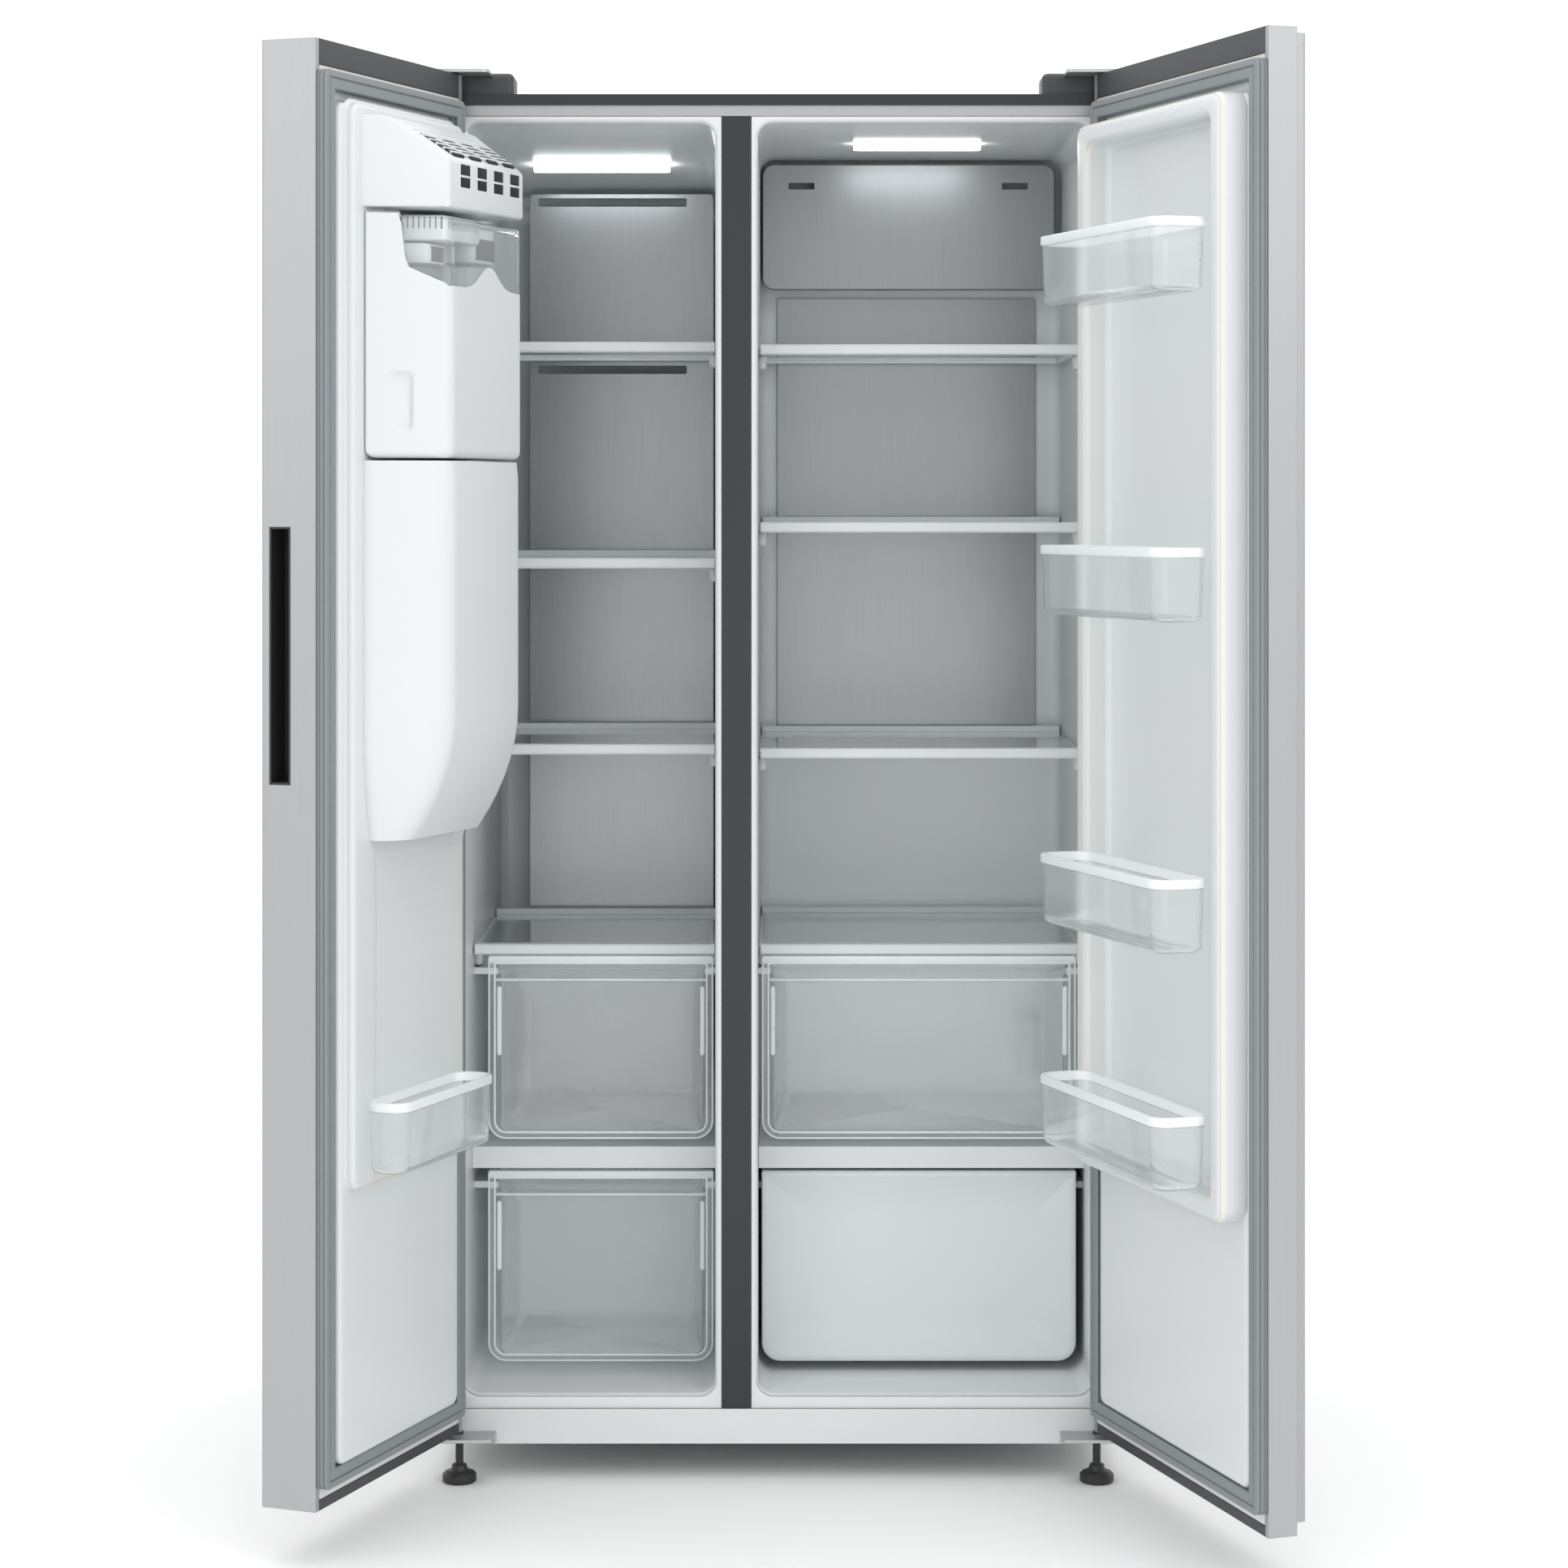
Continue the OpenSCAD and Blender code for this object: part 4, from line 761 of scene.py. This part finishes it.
def bin_parts(body, low, high):
    """A clear door bin and its frosted rim: a tub whose walls lean out, carried round its plan,
    and a rounded bar round its mouth."""
    wall, r, rim = 2.6, sizes().bin_round / MM, sizes().lip / MM
    z0, z1 = low[2], high[2]
    line = path(arc((4 + 9, z0 + 9), 9, 270, 180), (2.2, z1 - rim - 1), (2.2 + wall, z1 - rim - 1),
                arc((4 + wall + 8, z0 + wall + 8), 8, 180, 270))
    tub = carried((low[0], high[0], low[1], high[1]), r, line)
    bar = path(arc((1.6, z1 - rim + 1.6), 1.6, 270, 180, 3), arc((2.2, z1 - 2.2), 2.2, 180, 90, 4),
               arc((4.6, z1 - 1.6), 1.6, 90, 0, 3), (6.0, z1 - rim), (4, z1 - rim - 0.2))
    mouth = carried((low[0], high[0], low[1], high[1]), r, bar)
    return closed(on_door(body, tub)), closed(on_door(body, mouth), loop=True)


def slanted(grid):
    """The ice unit's free side leans in: width is scaled down in proportion to depth."""
    grid = grid.copy()
    out = np.clip((grid[..., 1] - UNIT[2]) / (UNIT[3] - UNIT[2]), 0, 1)
    grid[..., 0] = UNIT[0] + (grid[..., 0] - UNIT[0]) * (1 - LEAN * out)
    return grid


def window_edge(grid, unit):
    """Height of the bucket window's lower edge round the bucket: a bell curve on the front, and on
    the free side a slope that turns up to the rim at the window's end."""
    u, t = grid[..., 0], grid[..., 1]
    peak, middle, spread = 28, 0.47, 0.16
    slope, reach, turn, tall, run = 0.5, 45, 92, 64, 8
    across = (u - unit[0]) / (unit[1] - unit[0])
    front = SILL + peak * np.exp(-(((across - middle) / spread) ** 2))
    side = SILL + slope * (unit[3] - t).clip(0, reach) + tall * step_up((turn - t) / run)
    on_side = (u > unit[1] - 4) & (t < unit[3] - 3)
    return np.where(on_side, side, np.where(t > unit[3] - 4, front, SILL))


def face_block(body, u, t, z, fall=0.0, edge=1.0):
    """A small block on the ice unit; its height falls by a slope times its depth past the depth
    at which the housing's top starts to fall."""
    line = path(arc((edge, z[0] + edge), edge, 270, 180, 3),
                arc((edge, z[1] - edge), edge, 180, 90, 3))
    grid = refined(carried((*u, *t), min(edge + 0.6, 8), line, 3), 40)
    grid[..., 2] -= fall * (grid[..., 1] - SLOPE_START)
    return closed(on_door(body, slanted(grid)))


def bulge(body, low, high):
    """The dispenser's duct: rings in plan whose front edge follows the outline of the ice chute,
    drawn in smoothly at its foot."""
    h = np.linspace(0, 1, 22)
    z = low[2] + (high[2] - low[2]) * h
    foot = np.clip((z - low[2]) / 150, 0, 1)
    ease = foot * (2 - foot)
    thin = UNIT[2] + 40
    front = thin + (high[1] - thin) * ease
    draw = 26 * (1 - ease)
    rows = np.stack(
        [low[0] + 0.4 * draw, high[0] - 0.6 * draw, 0 * z + 38, front, 0 * z + 22, z], -1
    )
    rows[-1, 3] -= 2
    return closed(on_door(body, slanted(rings(rows, 9))))


def outline_along(body, line, span):
    """A closed outline in (depth, height) carried across the door; near each end it shrinks
    towards its middle along a quarter circle."""
    middle, edge = line.mean(0), 3.0
    a = np.radians(np.linspace(0, 90, 4))
    shrink = np.concatenate([1 - np.sin(a), (1 - np.cos(a))])
    at = np.concatenate([span[0] + edge * (1 - np.cos(a)), span[1] - edge * (1 - np.sin(a))])
    size = np.linalg.norm(line - middle, axis=1, keepdims=True)
    rows = [np.concatenate([np.full((len(line), 1), u), line - (line - middle) / size * edge * s], 1)
            for u, s in zip(at, shrink)]
    return closed(on_door(body, slanted(np.stack(rows))))


# ---- operators ----


class FRIDGE_OT_stage(bpy.types.Operator):
    """Pale floor, soft lights, white surroundings and the camera"""

    bl_idname = "fridge.stage"
    bl_label = "Stage and camera"

    def execute(self, context):
        scene = context.scene
        floor = bpy.data.meshes.new("floor")
        a = np.radians(np.linspace(0, 360, 96, endpoint=False))
        ring = np.stack([GROUND * np.cos(a), GROUND * np.sin(a), 0 * a], -1)
        floor.from_pydata(ring.tolist(), [], [list(range(len(a)))])
        mat = bpy.data.materials.new("pale_floor")
        mat.use_nodes = True
        tree = mat.node_tree
        place = tree.nodes.new("ShaderNodeTexCoord").outputs["Object"]
        cloud = place_group(tree, "cloud", place, Scale=0.6, Tone=0.02, Gloss=0.05, Roughness=0.6,
                            Colour=(0.985, 0.985, 0.985, 1.0))
        shader = tree.nodes["Principled BSDF"]
        link(tree, (cloud.outputs["Colour"], shader.inputs["Base Color"]),
             (cloud.outputs["Roughness"], shader.inputs["Roughness"]))
        floor.materials.append(mat)
        sheet = bpy.data.objects.new("floor", floor)
        scene.collection.objects.link(sheet)

        world = bpy.data.worlds.new("studio")
        world.use_nodes = True
        sky = world.node_tree.nodes["Background"]
        sky.inputs["Color"].default_value = (1, 1, 1, 1)
        sky.inputs["Strength"].default_value = SKY
        scene.world = world
        for name, spot, size, power in LIGHTS:
            lamp = bpy.data.lights.new(name, "AREA")
            lamp.size, lamp.energy = size, power
            obj = bpy.data.objects.new(name, lamp)
            obj.location = spot
            aim = Vector(AIM) - obj.location
            obj.rotation_euler = aim.to_track_quat("-Z", "Y").to_euler()
            scene.collection.objects.link(obj)
        lens = bpy.data.cameras.new("camera")
        lens.lens, lens.sensor_width, lens.shift_y = LENS, FILM, SHIFT
        camera = bpy.data.objects.new("camera", lens)
        camera.location = EYE
        camera.rotation_euler = (math.radians(90), 0, 0)
        scene.collection.objects.link(camera)
        scene.camera = camera
        scene.view_settings.view_transform = "Standard"
        return {"FINISHED"}


class FRIDGE_OT_cavities(bpy.types.Operator):
    """Smooth moulded liners of both cavities"""

    bl_idname = "fridge.cavities"
    bl_label = "Cavity liners"

    def execute(self, context):
        for node, back, fall in CAVITIES:
            piece(node + "_skin", cavity_shell(node, back, fall), "white_liner", "cabinet", [node])
        return {"FINISHED"}


class FRIDGE_OT_shelf_rests(bpy.types.Operator):
    """Moulded rests on the cavity walls under the front of each shelf"""

    bl_idname = "fridge.shelf_rests"
    bl_label = "Shelf rests"

    def execute(self, context):
        for name in ("freezer", "fridge"):
            low, high = box_mm(name + "_liner")
            glass, _ = box_mm(name + "_shelf_glass")
            y = (glass[1] + 26, glass[1] + 68)
            rests = []
            for z in shelf_heights(name):
                for wall, side in ((low[0] + 8, 1), (high[0] - 8, -1)):
                    x = sorted((wall - side * 1.0, wall + side * 11.0))
                    rests.append(closed(block(x, y, (z - 26, z - 7.5), 6, 5)))
            piece(name + "_shelf_rests", rests, "white_liner", "cabinet")
        return {"FINISHED"}


class FRIDGE_OT_drawers(bpy.types.Operator):
    """Clear freezer drawers, clear crisper and grey chill drawer"""

    bl_idname = "fridge.drawers"
    bl_label = "Drawers"

    def execute(self, context):
        for node in ("freezer_drawer_upper", "freezer_drawer_lower", "crisper_drawer"):
            body, rims = drawer(node)
            piece(node + "_tub", body, "clear_plastic", node, [node])
            piece(node + "_rims", rims, "frosted_rim", node)
        body, rims = drawer("chill_drawer")
        piece("chill_drawer_tub", body + rims[:1], "grey_drawer", "chill_drawer", ["chill_drawer"])
        return {"FINISHED"}


class FRIDGE_OT_seals(bpy.types.Operator):
    """Grooved seals round both doors"""

    bl_idname = "fridge.seals"
    bl_label = "Door seals"

    def execute(self, context):
        for body in HINGES:
            piece(body + "_bellows", [seal_loop(body)], "seal_grey", body, [body + "_seal"])
        return {"FINISHED"}


class FRIDGE_OT_door_liners(bpy.types.Operator):
    """Moulded inner sides of both doors"""

    bl_idname = "fridge.door_liners"
    bl_label = "Door liners"

    def execute(self, context):
        for body in HINGES:
            low, high = door_box(body + "_liner", body)
            rim = (low[0] + 1, high[0] - 1, low[2] + 1, high[2] - 1)
            flat = path((0, low[1] + 0.2), (0, 20), (30, 20))
            parts = [closed(on_door(body, lay(carried(rim, 2, flat, 3), "xzy")))]
            parts += [form(body, *field) for field in FIELDS[body]]
            if body == "fridge_door":
                parts.append(ridge_frame(body, *RIDGE))
            piece(body + "_moulding", parts, "white_liner", body, [body + "_liner"])
        return {"FINISHED"}


class FRIDGE_OT_door_bins(bpy.types.Operator):
    """Clear bins with frosted rims on both doors"""

    bl_idname = "fridge.door_bins"
    bl_label = "Door bins"

    def execute(self, context):
        u, t = BIN_WIDTH, BIN_DEPTH
        for node, heights in BIN_HEIGHTS.items():
            made = [bin_parts("fridge_door", (u[0], t[0], z), (u[1], t[1], z + BIN_TALL))
                    for z in heights]
            piece(node + "_tubs", [m[0] for m in made], "clear_plastic", "fridge_door", [node])
            piece(node + "_rims", [m[1] for m in made], "frosted_rim", "fridge_door")
        tub, mouth = bin_parts("freezer_door", *FREEZER_BIN)
        piece("freezer_door_bin_tub", [tub], "clear_plastic", "freezer_door", ["freezer_door_bin"])
        piece("freezer_door_bin_rim", [mouth], "frosted_rim", "freezer_door")
        return {"FINISHED"}


class FRIDGE_OT_ice_maker(bpy.types.Operator):
    """Ice maker housing with its grille, ice bucket with its window, and dispenser duct"""

    bl_idname = "fridge.ice_maker"
    bl_label = "Ice maker"

    def execute(self, context):
        body = "freezer_door"
        low, high = door_box("ice_maker_housing", body)
        self.housing(body, low, high)
        low, high = door_box("ice_bucket", body)
        self.bucket(body, low, high)
        low, high = door_box("dispenser_duct", body)
        piece("dispenser_chute", [bulge(body, low, high)], "white_liner", body, ["dispenser_duct"])
        return {"FINISHED"}

    def housing(self, body, low, high):
        """Slats lie on the line that falls from the housing's back edge to its front edge."""
        z0, z1, reach = low[2], high[2], high[1]
        outline = path((44, z0), (reach - 4, z0), arc((reach - 4, z0 + 4), 4, 270, 360, 4),
                       arc((reach - 9, z0 + 53), 9, 0, 57, 5),
                       arc((SLOPE_START, z1 - 10), 10, 57, 90, 4), (44, z1))
        cover = outline_along(body, outline, (low[0], high[0]))
        piece("ice_housing_cover", [cover], "white_liner", body, ["ice_maker_housing"])
        fall = (z1 - z0 - 62) / (reach - SLOPE_START)
        wide, pitch, slat_pitch = 34, 57.5, 7.5
        starts = low[0] + 14 + pitch * np.arange(4)
        # painted shade: near-black blocks stand for the shade inside the housing's front windows and
        # under its top slats
        dark = [face_block(body, (u, u + wide), (reach - 2, reach + 0.3), (z0 + 26, z0 + 54))
                for u in starts]
        dark += [face_block(body, (u, u + wide), (78, reach - 6), (z1 - 4, z1 - 0.2), fall)
                 for u in starts]
        piece("ice_housing_opening_shade", dark, "deep_shade", body)
        row = (low[0] + 13, low[0] + 222)
        slats = [face_block(body, row, (t, t + 2.6), (z1 - 3, z1 + 0.9), fall)
                 for t in np.arange(80, reach - 8, slat_pitch)]
        slats += [face_block(body, (u - 1, u + wide + 1), (reach - 2, reach + 0.9),
                             (z0 + 38, z0 + 41)) for u in starts]
        piece("ice_housing_slats", slats, "white_liner", body)

    def bucket(self, body, low, high):
        """The tub's slanted side has a scoop, pressed in by a smooth step in depth times one in
        height. Its rim and the window's foot follow the window's edge."""
        unit = (low[0], high[0], low[1], high[1])
        top, foot = high[2] - 84, 1440
        tub = path(arc((10, low[2] + 10), 10, 270, 180), (0, foot - 10), (0, foot + 10),
                   (0, top - 1), (3, top - 1), (3, foot + 10), (3, foot - 10),
                   arc((3 + 8, low[2] + 11), 8, 180, 270))
        grid = refined(carried(unit, 14, tub, corners=(0.3, 1, 1, 0.3)), 3.5)
        share = (grid[..., 1] - low[1]) / (high[1] - low[1])
        along = step_up((0.14 - abs(share - 0.42)) / 0.05)
        upward = step_up((37 - abs(grid[..., 2] - (foot - 80))) / 8)
        grid[..., 0] -= 7 * (along * upward) * (grid[..., 0] > high[0] - 4)
        rise = (grid[..., 2] - foot).clip(0) / (top - foot)
        grid[..., 2] += rise * (window_edge(grid, unit) - top)
        piece("ice_bucket_tub", [closed(on_door(body, slanted(grid)))], "white_trim",
              "ice_bucket", ["ice_bucket"])
        pane = path((0.8, top), (0.8, high[2] - 16), arc((5, high[2] - 14), 4.2, 180, 90, 4),
                    (5, high[2] - 12), (3, high[2] - 16), (3, top))
        grid = refined(carried(unit, 14, pane, corners=(0.3, 1, 1, 0.3)), 3.5)
        drop = (high[2] - 16 - grid[..., 2]).clip(0) / (high[2] - 16 - top)
        grid[..., 2] += drop * (window_edge(grid, unit) - top)
        piece("ice_bucket_window", [closed(on_door(body, slanted(grid)), loop=True)],
              "clear_plastic", "ice_bucket")
        drive = [face_block(body, (150, 262), (58, 118), (1552, 1583), edge=5),
                 face_block(body, (206, 262), (58, 100), (1524, 1550), edge=6),
                 face_block(body, (80, 146), (58, 110), (1530, 1583), edge=8)]
        piece("ice_bucket_drive", drive, "white_trim", "ice_bucket")
        # painted shade: thin dark grey patches on the drive's faces stand for the shade inside its
        # slots
        slots = [face_block(body, (u, u + 3.6), (114, 118.4), (1566, 1580))
                 for u in np.arange(160, 256, 8)]
        slots += [face_block(body, (258, 262.4), (t, t + 2.4), (1566, 1580))
                  for t in np.arange(64, 114, 6)]
        slots.append(face_block(body, (84, 142), (106, 110.4), (1536, 1562)))
        slots.append(face_block(body, (214, 256), (96, 100.4), (1528, 1546)))
        piece("ice_bucket_slot_shade", slots, "painted_slot_shade", "ice_bucket")


class FRIDGE_OT_hinge_covers(bpy.types.Operator):
    """Rounded covers over the top hinges, with their screws"""

    bl_idname = "fridge.hinge_covers"
    bl_label = "Hinge covers"

    def execute(self, context):
        low, high = box_mm("hinge_covers")
        parts, heads = [], []
        for side in (-1, 1):
            x = sorted((side * high[0], side * (high[0] - COVER_WIDTH)))
            parts.append(rounded_box(x, (low[1], high[1]), (low[2], high[2] - 2.5), 9, 7))
            spot = (side * (high[0] - SCREW_IN), low[1] + SCREW_BACK, high[2] - 3.4)
            heads.append(dome(*spot, 5.5, 2.4))
        piece("hinge_hoods", parts, "dark_trim", "cabinet", ["hinge_covers"])
        piece("hinge_hood_screws", heads, "zinc", "cabinet")
        return {"FINISHED"}


class FRIDGE_OT_cad_finishes(bpy.types.Operator):
    """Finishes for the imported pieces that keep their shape"""

    bl_idname = "fridge.cad_finishes"
    bl_label = "Finishes of the packed pieces"

    def execute(self, context):
        for obj in frame["nodes"].values():
            for slot in obj.material_slots:
                slot.material = finish_named(slot.material.name.split(".")[0])
        return {"FINISHED"}


STEPS = (
    FRIDGE_OT_stage, FRIDGE_OT_cad_finishes, FRIDGE_OT_cavities, FRIDGE_OT_shelf_rests,
    FRIDGE_OT_drawers, FRIDGE_OT_seals, FRIDGE_OT_door_liners, FRIDGE_OT_door_bins,
    FRIDGE_OT_ice_maker, FRIDGE_OT_hinge_covers,
)


class FRIDGE_PT_sidebar(bpy.types.Panel):
    """The steps that make the refrigerator's looks, with its sizes and colours"""

    bl_idname = "FRIDGE_PT_sidebar"
    bl_label = "Refrigerator"
    bl_space_type = "VIEW_3D"
    bl_region_type = "UI"
    bl_category = "Refrigerator"

    def draw(self, context):
        for step in STEPS:
            self.layout.operator(step.bl_idname)
        for settings in (context.scene.fridge_sizes, context.scene.fridge_colours):
            for name in settings.__annotations__:
                self.layout.prop(settings, name)


CLASSES = (FridgeSizes, FridgeColours, *STEPS, FRIDGE_PT_sidebar)


def register():
    for cls in CLASSES:
        bpy.utils.register_class(cls)
    bpy.types.Scene.fridge_sizes = bpy.props.PointerProperty(type=FridgeSizes)
    bpy.types.Scene.fridge_colours = bpy.props.PointerProperty(type=FridgeColours)


def unregister():
    del bpy.types.Scene.fridge_sizes, bpy.types.Scene.fridge_colours
    for cls in reversed(CLASSES):
        bpy.utils.unregister_class(cls)


def main():
    register()
    for step in STEPS:
        area, name = step.bl_idname.split(".")
        getattr(getattr(bpy.ops, area), name)()


if __name__ == "__main__":
    main()
